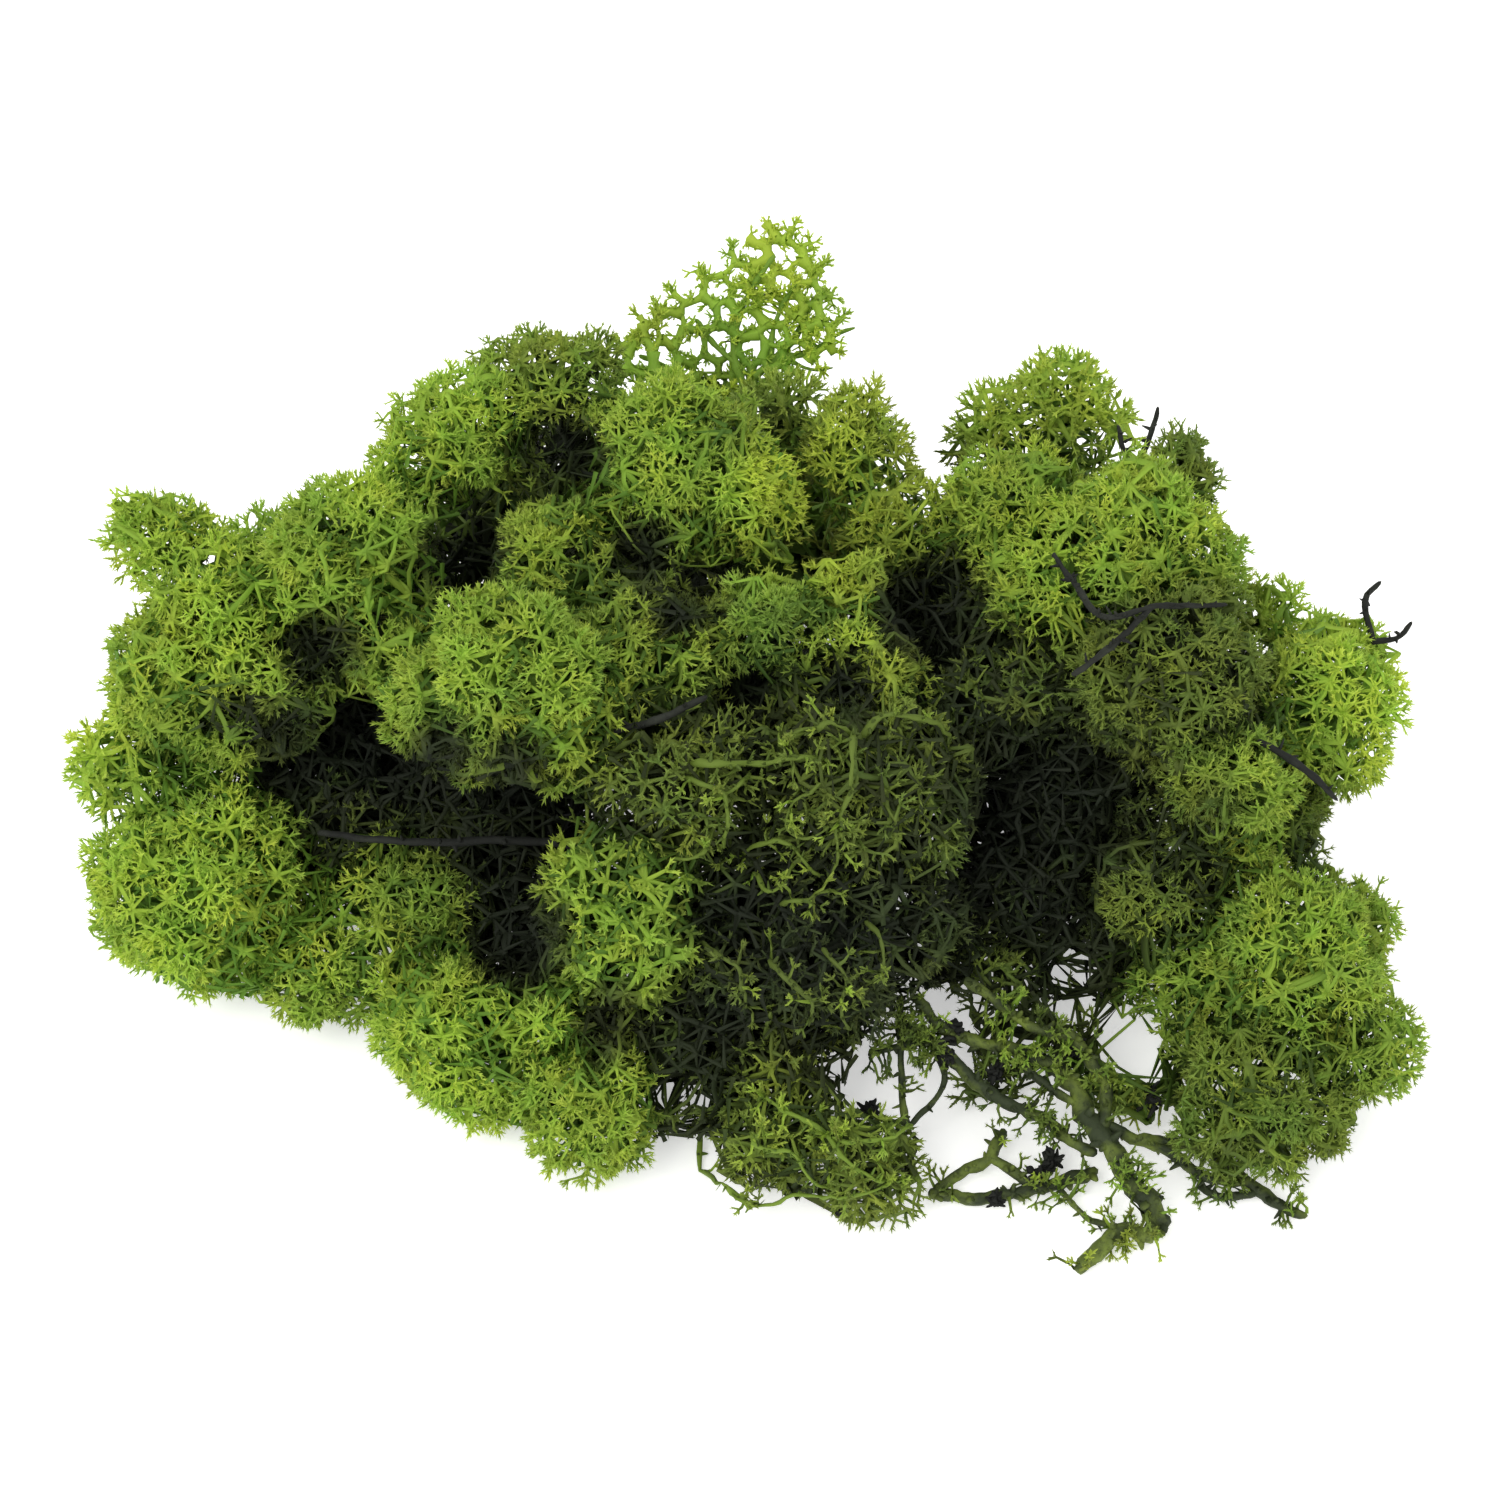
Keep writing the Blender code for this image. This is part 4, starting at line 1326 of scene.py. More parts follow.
@dataclass(frozen=True)
class Picture:
    """The photograph's line of sight.

    Attributes:
        elevation: How far the camera looks down, in radians.
        distance: How far it is from the clump's middle, in millimetres.
        centre: What the picture's centre shows, in millimetres.
        width: How much of that the picture is wide, in millimetres.
        sensor: How wide the camera's sensor is, in millimetres.
    """

    elevation: float = math.radians(50)
    distance: float = 450.0
    centre: tuple[float, float, float] = (0.9, -3.8, 20.0)
    width: float = 150.0
    sensor: float = 36.0

    @property
    def to_eye(self) -> Array:
        """The way from the clump to the camera."""
        return np.array([0, -math.cos(self.elevation), math.sin(self.elevation)])

    @property
    def eye(self) -> Array:
        """Where the camera stands, in metres."""
        return (np.array(self.centre) + self.to_eye * self.distance) * MM

    @property
    def rise(self) -> Array:
        """The way up in the picture."""
        return np.array([0, math.sin(self.elevation), math.cos(self.elevation)])

    def on_picture(self, points: Array) -> Array:
        """Where the picture shows places.

        Args:
            points: The places, in metres, (n, 3).

        Returns:
            How far right of its centre and above it, in millimetres, (n, 2).
        """
        ways = points / MM - np.array(self.centre)
        scale = self.distance / (self.distance - ways @ self.to_eye)
        return np.stack([ways[:, 0] * scale, ways @ self.rise * scale], axis=1)

    def sight(self, point: Sequence[float]) -> Array:
        """The line of sight through a point of the picture.

        Args:
            point: Millimetres right of the picture's centre and above it.

        Returns:
            The way from the camera.
        """
        across, up = point
        aim = (np.array(self.centre) + across * np.array([1, 0, 0]) + up * self.rise) * MM
        return unit(aim - self.eye)

    def on_sheet(self, point: Sequence[float], place: Array) -> Array:
        """The place that the picture shows at a point, if it is as far off as another place.

        Args:
            point: Millimetres right of the picture's centre and above it.
            place: The other place, in metres.

        Returns:
            The place, in metres.
        """
        way = self.sight(point)
        return self.eye + way * (((place - self.eye) @ self.to_eye) / (way @ self.to_eye))

    def at_height(self, point: Sequence[float], height: float) -> Array:
        """The place that the picture shows at a point, if it is so far above the table.

        Args:
            point: Millimetres right of the picture's centre and above it.
            height: The place's height, in millimetres.

        Returns:
            The place, in metres.
        """
        way = self.sight(point)
        return self.eye + way * ((height * MM - self.eye[2]) / way[2])

    def camera(self) -> None:
        """Makes the scene's camera."""
        data = bpy.data.cameras.new("camera")
        data.sensor_width = self.sensor
        data.lens = self.sensor * self.distance / self.width
        data.clip_start = 10 * MM
        data.clip_end = 10.0
        camera = bpy.data.objects.new("camera", data)
        camera.location = self.eye
        camera.rotation_euler = (math.pi / 2 - self.elevation, 0, 0)
        bpy.context.scene.collection.objects.link(camera)
        bpy.context.scene.camera = camera


class Surroundings:
    """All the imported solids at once: tells what is near a point and how open the sky is there."""

    def __init__(self, skins: Iterable[Skin], count: int = 16) -> None:
        """Joins the solids into one search tree, and spreads the rays that look for the sky.

        Args:
            skins: Their surfaces.
            count: How many rays leave a point, spread round its way out.
        """
        places, faces = [], []
        start = 0
        for skin in skins:
            places.extend(skin.places.tolist())
            faces.extend((skin.faces + start).tolist())
            start += len(skin.places)
        self.search = BVHTree.FromPolygons(places, faces)
        steps = np.arange(count) + 0.5
        height = np.sqrt(1 - steps / count * 0.96)
        turn = steps * math.pi * (3 - math.sqrt(5))
        flat = np.sqrt(1 - height**2)
        self.rays = np.stack([flat * np.cos(turn), flat * np.sin(turn), height], axis=1)

    def blocked(self, points: Array, ways: Array, reach: float) -> Array:
        """Whether a solid lies within reach of each point along its way.

        Args:
            points: Where to start, (n, 3).
            ways: Which way to look, (n, 3) or (3,).
            reach: How far.

        Returns:
            True for each point that something blocks.
        """
        ways = np.broadcast_to(ways, points.shape)
        cast = self.search.ray_cast
        hits = [cast(Vector(point), Vector(way), reach)[0] is not None for point, way in zip(points, ways)]
        return np.array(hits, bool)

    def seen_at(self, picture: Picture, point: Sequence[float]) -> Array:
        """The place on the solids, or else on the table, that the picture shows at a point.

        Args:
            picture: The line of sight.
            point: Millimetres right of the picture's centre and above it.

        Returns:
            The place, in metres.
        """
        hit = self.search.ray_cast(Vector(picture.eye), Vector(picture.sight(point)))[0]
        return np.array(hit) if hit is not None else picture.at_height(point, 0.5)

    def openness(
        self, points: Array, normals: Array, lift: float = 1.2 * MM, reach: float = 70 * MM
    ) -> Array:
        """How much of the sky each point sees past the solids.

        Args:
            points: Where, (n, 3).
            normals: The way out at each point.
            lift: How far above the skin the eye is held, so that a point's own lumps don't count.
            reach: How far off something still hides the sky.

        Returns:
            A share from 0 to 1 for each point.
        """
        side = sideways(normals)
        other = np.cross(normals, side)
        seen = np.zeros(len(points))
        start = points + normals * lift
        for ray in self.rays:
            ways = side * ray[0] + other * ray[1] + normals * ray[2]
            sky = np.where(ways[:, 2] > -0.15, 1.0, 0.35)
            seen += sky * ~self.blocked(start, ways, reach)
        return seen / len(self.rays)


def tone_at(points: Array, patch: float = 4.0 * MM) -> Array:
    """A smooth tone from 0 to 1 that changes from one patch of growth to the next."""
    return np.clip(noise_at(points, patch) * 0.9 + 0.5, 0, 1)


@dataclass
class Shoots:
    """Places that branches pass through, a row for each.

    Attributes:
        places: Where they are.
        skin: The place on the skin that each lies under.
        out: The way out there.
        radius: How thick the branch is, in metres.
        look: How much sky it sees, how warm its green is and how little dye it took, (n, 3).
    """

    places: Array
    skin: Array
    out: Array
    radius: Array
    look: Array

    def __len__(self) -> int:
        """How many there are."""
        return len(self.places)

    def pick(self, rows: Array) -> "Shoots":
        """Takes the rows that are asked for, in their order."""
        return Shoots(*(getattr(self, entry.name)[rows] for entry in fields(self)))


@dataclass
class Growth:
    """What tufts and bare stems have in common: limbs, tubes of bark and crowns of tips.

    Attributes:
        name: The solid's node.
        around: All the solids.
        mass: Their blurred mass.
        picture: The line of sight.
        rng: Its random numbers.
        branches: What has grown so far.
    """

    name: str
    around: Surroundings
    mass: Mass
    picture: Picture
    rng: np.random.Generator = field(init=False)
    branches: BranchMesh = field(init=False)

    # In millimetres: how far apart the points of a bare branch lie, and how long a patch of its bark is.
    STEP = 0.6
    BARK_PATCH = 1.1
    # In millimetres: how far sprouts reach, how thick they are, and how wide a group of them is.
    SPROUT_REACH = (0.8, 2.2)
    SPROUT_GIRTH = 0.22
    SPROUT_GROUP = 4
    # How thick a crown is, as a share of its twiglets' girth.
    CROWN_GIRTH = 1.1
    # For each prong of a tip: its turn, and how far down its twiglet it forks off. Two fork off at the
    # end, and two from the twiglet's sides, one above the other.
    PRONGS = ((0.0, 0.1), (math.pi, 0.1), (1.6, 0.4), (4.6, 0.6))

    def __post_init__(self) -> None:
        """Seeds the growth by its name, so that it grows the same each time."""
        seed = sum(ord(letter) * (place + 1) for place, letter in enumerate(self.name))
        self.rng = np.random.default_rng(seed)
        self.branches = BranchMesh()

    def _limb(self, start: Shoots, end: Shoots, ages: tuple[float, float], stops: int) -> None:
        """Adds limbs that leave their forks outward and bend to the shoots that they carry.

        Args:
            start: The fork of each limb.
            end: The shoot that it carries.
            ages: The growth's age at the fork and at the shoot.
            stops: How many points the limb has.
        """
        span = np.linalg.norm(end.places - start.places, axis=1, keepdims=True)
        rise = np.minimum(span * 0.4, 1.4 * MM)
        bend = start.places + start.out * rise + self.rng.normal(size=span.shape[:1] + (3,)) * span * 0.1
        share = np.linspace(0, 1, stops)
        weights = np.stack([(1 - share) ** 2, 2 * share * (1 - share), share**2], axis=1)
        points = np.einsum("pk,nkc->npc", weights, np.stack([start.places, bend, end.places], axis=1))
        last = end.places + unit(end.places - points[:, -2]) * (end.radius * 0.8)[:, None]
        points = np.concatenate([points, last[:, None]], axis=1)
        radii = start.radius[:, None] * (1 - share) + end.radius[:, None] * share
        traits = self._traits(start, end, ages, np.append(share, 1.0))
        self.branches.add(points, radii, traits, end.out)

    @staticmethod
    def _traits(start: Shoots, end: Shoots, ages: tuple[float, float], share: Array) -> Array:
        """Age and look along branches from one row of shoots to another.

        Args:
            start: Where they leave.
            end: Where they lead.
            ages: The growth's age at the start and at the end.
            share: How far along each point is, from 0 to 1.

        Returns:
            Age, openness, warmth and dullness at each point, (branches, points, 4).
        """
        share = share[:, None]
        traits = np.empty((len(start), len(share), 4))
        traits[:, :, :1] = ages[0] * (1 - share) + ages[1] * share
        traits[:, :, 1:] = start.look[:, None] * (1 - share) + end.look[:, None] * share
        return traits

    def _tube(
        self,
        points: Array,
        radii: Array,
        look: Array,
        sides: int = 7,
        rough: float = 0.14,
        age: float = 0.8,
    ) -> None:
        """Adds one bare branch with uneven bark, tapered at both ends.

        Args:
            points: Its course, (n, 3).
            radii: Its radius at each.
            look: Its look, as that of shoots.
            sides: How many corners a ring has.
            rough: How uneven its girth is, as a share.
            age: How old it is.
        """
        first = points[:1] + (points[:1] - points[1:2]) * 0.3
        last = points[-1:] + (points[-1:] - points[-2:-1]) * 0.4
        points = np.concatenate([first, points, last])
        radii = np.concatenate([radii[:1] * 0.35, radii])
        radii[-1] *= 0.75
        steps = np.linalg.norm(np.diff(points, axis=0), axis=1)
        along = np.cumsum(steps) / (self.BARK_PATCH * MM) + self.rng.uniform(0, 100)
        turns = np.arange(sides) * (2 * math.pi / sides)
        uneven = [
            [noise.noise(Vector((math.cos(turn) * 0.7, math.sin(turn) * 0.7, place))) for turn in turns]
            for place in along
        ]
        radii = radii[:, None] * (1 + rough * 2 * np.array(uneven))
        traits = np.empty((1, len(points), 4))
        traits[0, :, 0] = age
        traits[0, :, 1:] = look
        upward = np.array([[0.0, 0.0, 1.0]])
        self.branches.add(points[None], radii[None], traits, upward, sides, closed=True)

    def _aside(self, points: Array, rows: Array) -> Array:
        """Ways out of a bare branch at some of its points, more of them upward than down.

        Args:
            points: Its course.
            rows: Which of the points.

        Returns:
            A way for each, at a right angle to the branch.
        """
        heading = unit(points[np.minimum(rows + 1, len(points) - 1)] - points[np.maximum(rows - 1, 0)])
        ways = self.rng.normal(size=(len(rows), 3)) + np.array([0, -0.3, 0.7])
        return unit(ways - heading * np.sum(ways * heading, axis=1, keepdims=True))

    def _stubs(self, points: Array, radii: Array, count: int, look: Array) -> None:
        """Adds stubs where branches broke off.

        Args:
            points: The stem's course.
            radii: Its radius there.
            count: How many.
            look: Their look, as that of shoots.
        """
        rows = self.rng.integers(1, len(points) - 1, count)
        heading = unit(points[rows] - points[rows - 1])
        for row, way, ahead in zip(rows, self._aside(points, rows), heading):
            girth = radii[row] * self.rng.uniform(0.35, 0.6)
            reach = radii[row] + self.rng.uniform(0.2, 1.0) * MM
            lean = unit(way + ahead * self.rng.uniform(-0.6, 0.6))
            course = points[row] + lean * reach * np.array([0.3, 0.7, 1.0])[:, None]
            self._tube(course, girth * np.array([1.3, 0.9, 0.7]), look, sides=5)

    def _sprouts(self, points: Array, radii: Array, count: int, look: Array) -> None:
        """Adds young shoots in loose groups, each ending in a crown of tips.

        Args:
            points: The stem's course.
            radii: Its radius there.
            count: How many.
            look: Their look, as that of shoots.
        """
        if count == 0:
            return
        favour = np.maximum(noise_at(points, self.SPROUT_GROUP * MM) + 0.15, 0.02)
        rows = self.rng.choice(len(points), count, p=favour / favour.sum())
        ways = self._aside(points, rows)
        look = np.clip(look + self.rng.normal(0, 0.12, (count, 3)), 0, 1)
        bark = points[rows] + ways * (radii[rows] * 0.7)[:, None]
        reach = self.rng.uniform(*self.SPROUT_REACH, count) * MM
        lean = unit(ways + self.rng.normal(0, 0.35, ways.shape))
        start = Shoots(bark, bark, ways, np.full(count, self.SPROUT_GIRTH * MM), look)
        girth = np.full(count, SPROUT.girth * self.CROWN_GIRTH * MM)
        crowns = Shoots(bark + lean * reach[:, None], bark, lean, girth, look)
        low = crowns.places[:, 2] < MM
        crowns.places[low, 2] = MM
        self._limb(start, crowns, (0.5, 0.2), 3)
        self._tips(crowns, np.ones(count, bool), SPROUT)

    def _tips(self, crowns: Shoots, seen: Array, habit: Habit) -> None:
        """Gives each crown its twiglets, which end in small stars of prongs.

        Args:
            crowns: Where they grow.
            seen: Whether the camera sees each crown: the others have the least number of twiglets.
            habit: How they grow.
        """
        rng = self.rng
        least, most = habit.twiglets
        number = np.where(seen, rng.integers(least, most + 1, len(crowns)), least)
        owner = np.repeat(np.arange(len(crowns)), number)
        total = len(owner)
        place = np.arange(total) - np.repeat(np.cumsum(number) - number, number)
        turn = (place + rng.random(len(crowns))[owner]) / number[owner] * 2 * math.pi
        turn += rng.normal(0, 0.3, total)
        base = crowns.pick(owner)
        aim = aimed(base.out, turn, np.radians(rng.uniform(*habit.spread, total)))
        reach = habit.crown * MM * rng.uniform(0.7, 1.2, total)
        end = base.places + aim * reach[:, None]
        curl = unit(aim * 0.8 + base.out * 0.55 + rng.normal(0, 0.15, aim.shape))
        prong = habit.prong * MM * rng.uniform(0.7, 1.25, total)
        girth = habit.girth * MM * rng.uniform(0.85, 1.15, total)
        points = np.stack([base.places, end, end + curl * prong[:, None]], axis=1)
        radii = np.stack([girth, girth * 0.75], axis=1)
        self.branches.add(points, radii, self._tip_traits((0.2, 0.08, 0.0), base), base.out)
        spin = rng.uniform(0, math.pi, total)
        for turn, back in self.PRONGS:
            way = aimed(curl, spin + turn, np.radians(rng.uniform(*habit.fork, total)))
            start = end - aim * (reach * back)[:, None]
            across = unit(np.cross(way, rng.normal(size=way.shape))) * (girth * 0.95)[:, None]
            traits = self._tip_traits((0.1 + 0.1 * back, 0.0), base)
            tip = start + way * (prong * (1.0 - 0.2 * back))[:, None]
            self.branches.add_prongs(start, tip, across, traits)

    @staticmethod
    def _tip_traits(ages: tuple[float, ...], base: Shoots) -> Array:
        """Age and look along each tip.

        Args:
            ages: The growth's age at each of its points.
            base: The crown that each tip stands on.

        Returns:
            Age, openness, warmth and dullness at each point, (tips, points, 4).
        """
        traits = np.empty((len(base), len(ages), 4))
        traits[:, :, 0] = ages
        traits[:, :, 1:] = base.look[:, None]
        return traits


@dataclass
class Tuft(Growth):
    """One tuft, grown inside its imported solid.

    Attributes:
        plan: How it grows.
        skin: The solid's surface.
    """

    plan: TuftPlan
    skin: Skin

    # The age of the crowns, of each level of forks below them, and of the foot.
    AGES = (0.16, 0.36, 0.6, 0.82, 1.0)

    def build(self, finishes: Iterable[bpy.types.Material]) -> bpy.types.Object:
        """Grows the tuft.

        Args:
            finishes: Its material.

        Returns:
            Its piece.
        """
        crowns, seen = self._crowns()
        if self.plan.web:
            crowns, seen = self._webbed(self.plan.web, crowns, seen)
        if self.plan.habit.lattice:
            self._lattice(crowns, seen)
        level = crowns
        for step, (gap, depth) in enumerate(zip(self.plan.habit.forks, self.plan.habit.depths[1:])):
            forks, parent = self._forks(level, gap, depth, step)
            if step == 0:
                reach = unit(crowns.places - forks.places[parent])
            ages = (self.AGES[step + 1], self.AGES[step])
            self._limb(forks.pick(parent), level, ages, 3 if step == 0 else 4)
            if step < 2:
                self._net(forks, self.AGES[step + 1])
            level = forks
        self._limb(self._foot(level), level, (1.0, self.AGES[3]), 4)
        self._old_wood()
        for runner in self.plan.runners:
            self._runner(runner)
        crowns.out = unit(crowns.out * 0.65 + reach * 0.35)
        self._tips(crowns, seen, self.plan.habit)
        return self.branches.build(self.name + "_growth", finishes)

    def _lattice(self, crowns: Shoots, seen: Array) -> None:
        """Joins the crowns that show into a net of young branches, with dark holes between.

        Args:
            crowns: The crowns under the skin.
            seen: Whether the camera sees each.
        """
        rows = np.flatnonzero(seen)
        kept = rows[thinned(crowns.places[rows], np.full(len(rows), self.plan.habit.lattice * MM))]
        joints = crowns.pick(kept)
        joints.radius = self.plan.habit.girth * MM * self.rng.uniform(1.7, 2.9, len(kept))
        self._net(joints, 0.28)

    def _webbed(self, web: Web, crowns: Shoots, seen: Array) -> tuple[Shoots, Array]:
        """Makes the upright part of the tuft a web, with small shoots all over it.

        Args:
            web: How it is made.
            crowns: The crowns under the whole skin.
            seen: Whether the camera sees each.

        Returns:
            The crowns below the web, and whether the camera sees each.
        """
        holes = self._holes(web)
        heart = holes.mean(axis=0)
        root = self.picture.on_sheet(web.arms[0].course[1], heart)
        walls = self._walls(web, holes, root)
        self._arms(web, heart)
        self._fringe(web, walls, root)
        below = crowns.skin[:, 2] <= web.over * MM
        return crowns.pick(below), seen[below]

    def _holes(self, web: Web) -> Array:
        """Spreads the web's holes over a sheet in the middle of the solid.

        Args:
            web: How it is made.

        Returns:
            The holes' middles, (n, 3).
        """
        eye = self.picture.to_eye
        points, normals = self.skin.scatter(web.tries, self.rng)
        points = points[(points[:, 2] > web.over * MM) & (normals @ eye > 0.1)]
        depth = np.array([self.skin.room(point, -eye) for point in points])
        sheet = (points - eye * depth[:, None] / 2)[depth > 0.3 * MM]
        return sheet[thinned(sheet, np.full(len(sheet), web.hole * MM))]

    def _cells(self, web: Web, holes: Array) -> tuple[Array, Array, int]:
        """Parts the sheet into cells, one round each hole.

        Args:
            web: How it is made.
            holes: The holes' middles.

        Returns:
            Where the sides of the cells start, where they end, and how many of them lie inside. The others
            run out over the rim.
        """
        flat = self.picture.on_picture(holes)
        faces = np.array(delaunay_2d_cdt([Vector(row) for row in flat], [], [], 0, 1e-4)[2])
        spans = [np.linalg.norm(flat[faces[:, k]] - flat[faces[:, k - 1]], axis=1) for k in range(3)]
        faces = faces[np.max(spans, axis=0) < web.widest * web.hole]
        joints = holes[faces].mean(axis=1) + self.rng.normal(0, 0.12 * MM, (len(faces), 3))
        shared: dict[tuple[int, ...], list[int]] = {}
        for index, face in enumerate(np.sort(faces, axis=1).tolist()):
            for pair in combinations(face, 2):
                shared.setdefault(pair, []).append(index)
        inner = np.array([both for both in shared.values() if len(both) == 2])
        rim = {pair: both[0] for pair, both in shared.items() if len(both) == 1}
        outer = np.array([holes[list(pair)].mean(axis=0) for pair in rim])
        rooted = joints[list(rim.values())]
        start = np.concatenate([joints[inner[:, 0]], rooted])
        end = np.concatenate([joints[inner[:, 1]], rooted + (outer - rooted) * 1.5])
        return start, end, len(inner)

    def _walls(self, web: Web, holes: Array, root: Array) -> Array:
        """Adds the branches between the holes.

        Args:
            web: How it is made.
            holes: The holes' middles.
            root: Where the web begins, which is where its branches are oldest.

        Returns:
            Places along the branches, more of them along the rim, (n, 3).
        """
        start, end, inside = self._cells(web, holes)
        look = self._look(start, np.ones(len(start)))
        look[:, 0] = 0.95
        girth = web.wall * MM * self.rng.uniform(0.6, 1.5, len(start))
        middle = (start + end) / 2 + self.rng.normal(0, 0.1 * MM, start.shape)
        points = np.stack([start, middle, end, end + (end - start) * 0.1], axis=1)
        far = np.linalg.norm(points - root, axis=2)
        traits = np.empty((*far.shape, 4))
        traits[:, :, 0] = 0.8 - 0.55 * np.clip(far / (web.young * MM), 0, 1)
        traits[:, :, 1:] = look[:, None]
        radii = girth[:, None] * np.array([1.3, 0.85, 1.25])
        facing = np.repeat(self.picture.to_eye[None], len(start), axis=0)
        self.branches.add(points, radii, traits, facing, sides=5, closed=True)
        return np.concatenate([middle, end, end[inside:], end[inside:]])

    def _arms(self, web: Web, heart: Array) -> None:
        """Adds the web's strong branches and what sprouts from them.

        Args:
            web: How it is made.
            heart: The middle of its holes.
        """
        for arm in web.arms:
            course = curve(np.array(arm.course), 0.5)
            places = np.array([self.picture.on_sheet(point, heart) for point in course])
            share = np.linspace(0, 1, len(places))
            radii = arm.girth * MM * (1 - 0.45 * share) * (1 + 0.4 * noise_at(places, 1.5 * MM))
            self._tube(places, radii, web.shade, age=0.6)
            even = np.full(len(places), arm.girth * MM)
            self._sprouts(places, even, len(places) // 2, np.array([1.0, 0.9, 0.0]))

    def _fringe(self, web: Web, walls: Array, root: Array) -> None:
        """Adds small shoots all over the branches between the holes, most of them along the rim.

        Args:
            web: How it is made.
            walls: Places along the branches.
            root: Where the web begins.
        """
        rows = self.rng.integers(0, len(walls), round(1.3 * len(walls)))
        places = walls[rows]
        out = unit(self.rng.normal(size=(len(rows), 3)) + 0.7 * unit(places - root))
        radius = np.full(len(rows), web.wall * 0.5 * MM)
        base = Shoots(places, places, out, radius, self._look(places, np.ones(len(rows))))
        tips = replace(base, places=places + out * (self.rng.uniform(0.5, 0.9, (len(rows), 1)) * MM))
        tips.radius = radius * 0.5
        self._limb(base, tips, (0.25, 0.12), 2)
        self._tips(tips, np.ones(len(rows), bool), SPROUT)

    def _spotted(self, points: Array, trait: str) -> Array:
        """What the spots add to one trait at each place: its hollow and painted shade, or its swell.

        Args:
            points: Where, (n, 3).
            trait: The name of the spots' field.

        Returns:
            The most that a spot adds to each.
        """
        seen = self.picture.on_picture(points)
        most = np.zeros(len(points))
        for spot in SPOTS:
            far = spot.apart(seen) / spot.reach
            most = np.maximum(most, getattr(spot, trait) * np.exp(-(far**4)))
        return most

    def _clear(self, points: Array) -> Array:
        """Finds what the clearings leave.

        Args:
            points: Where, (n, 3).

        Returns:
            Whether each place lies outside all of them.
        """
        seen = self.picture.on_picture(points)
        clear = np.ones(len(points), bool)
        for spot in CLEARINGS:
            clear &= spot.apart(seen) > spot.reach
        return clear

    def _crowns(self) -> tuple[Shoots, Array]:
        """Places the crowns of tips under the skin, close together where they show.

        Returns:
            The crowns, and whether the camera sees each.
        """
        habit = self.plan.habit
        spacing = habit.spacing * MM
        area = float(self.skin.areas.sum())
        points, normals = self.skin.scatter(max(int(6 * area / spacing**2), 80), self.rng)
        points, normals, lift = self._bridged(points, normals)
        points = points + normals * (self._spotted(points, "swell") * MM)[:, None]
        clear = self._clear(points)
        points, normals, lift = points[clear], normals[clear], lift[clear]
        openness = self._smooth_openness(points, normals)
        facing = normals @ self.picture.to_eye > -0.1
        seen = facing & ~self.around.blocked(points + normals * (0.8 * MM), self.picture.to_eye, 0.3)
        gaps = np.where(seen, spacing, spacing * SPARE.unseen)
        kept = thinned(points, gaps * (1 + SPARE.closed * np.clip(0.5 - openness, 0, 0.5)))
        points, normals = points[kept], normals[kept]
        sink = habit.depths[0] + self.rng.normal(0, 0.2, len(points))
        dimple, lean = self._florets(points)
        dimple += 0.45 * lift[kept] / MM + 2.0 * self._spotted(points, "hollow_and_painted_shade")
        sink += dimple
        places = points - normals * (sink * MM)[:, None]
        normals = unit(normals + lean - normals * np.sum(lean * normals, axis=1, keepdims=True))
        radius = np.full(len(points), habit.girth * self.CROWN_GIRTH * MM)
        # Painted shade: a crown that sinks into a dimple or a crease between florets is given less sky, so
        # it is painted darker.
        shade = openness[kept] * (1 - 0.4 * np.clip(dimple / 2.6, 0, 1))
        return Shoots(places, points, normals, radius, self._look(points, shade, 0.1)), seen[kept]

    def _florets(self, points: Array) -> tuple[Array, Array]:
        """Parts the skin into florets, as the head of a cauliflower is parted.

        Args:
            points: Places on the skin.

        Returns:
            How deep each lies between its florets, in millimetres, and which way it leans out of its own.
        """
        habit = self.plan.habit
        dimple = np.zeros(len(points))
        lean = np.zeros((len(points), 3))
        for size, deep in habit.lumps:
            for index, point in enumerate(points / (size * MM)):
                (near, far, *_), (heart, *_) = noise.voronoi(Vector(point))
                crease = max(1 - (far - near) / 0.3, 0) ** 2
                dimple[index] += deep * (near**2 + 0.45 * crease)
                lean[index] += (point - np.array(heart)) * habit.lean
        return dimple, lean

    def _look(self, points: Array, openness: Array, mottle: float = 0.0, own: float = 0.45) -> Array:
        """The look of the growth at places: the tuft's own, run into its neighbours' near the borders.

        Args:
            points: Where, (n, 3).
            openness: How much sky each sees.
            mottle: How far one place differs from the next.
            own: The share of the tuft's own look that stays at a border.

        Returns:
            The sky seen, the warmth and the dullness of each, (n, 3).
        """
        mottled = self.rng.normal(0, 1, (2, len(points))) * mottle
        warmth = own * self.plan.warmth + (1 - own) * self.mass.look(self.mass.warmth, points)
        warmth += (tone_at(points) - 0.5) * 0.7 + mottled[0]
        dullness = own * self.plan.dullness + (1 - own) * self.mass.look(self.mass.dullness, points)
        dullness += (tone_at(points[:, [1, 2, 0]], 7 * MM) - 0.5) * 0.16 + mottled[1] * 0.4
        seen = self.picture.on_picture(points)
        # The spots' warmth and dullness, some of which are painted highlights.
        for spot in SPOTS:
            far = spot.apart(seen) / spot.reach
            warmth += spot.warmth * np.exp(-(far**2))
            dullness += spot.dullness * np.exp(-(far**2))
        # Painted shade: in a pocket the growth takes the deepest colour and is given less sky.
        hollow_and_painted_shade = self._spotted(points, "hollow_and_painted_shade")
        dullness = dullness * (1 - hollow_and_painted_shade) + 0.95 * hollow_and_painted_shade
        shaded = openness * (1 - 0.7 * hollow_and_painted_shade)
        return np.stack([shaded, np.clip(warmth, 0, 1), np.clip(dullness, 0, 1)], axis=1)

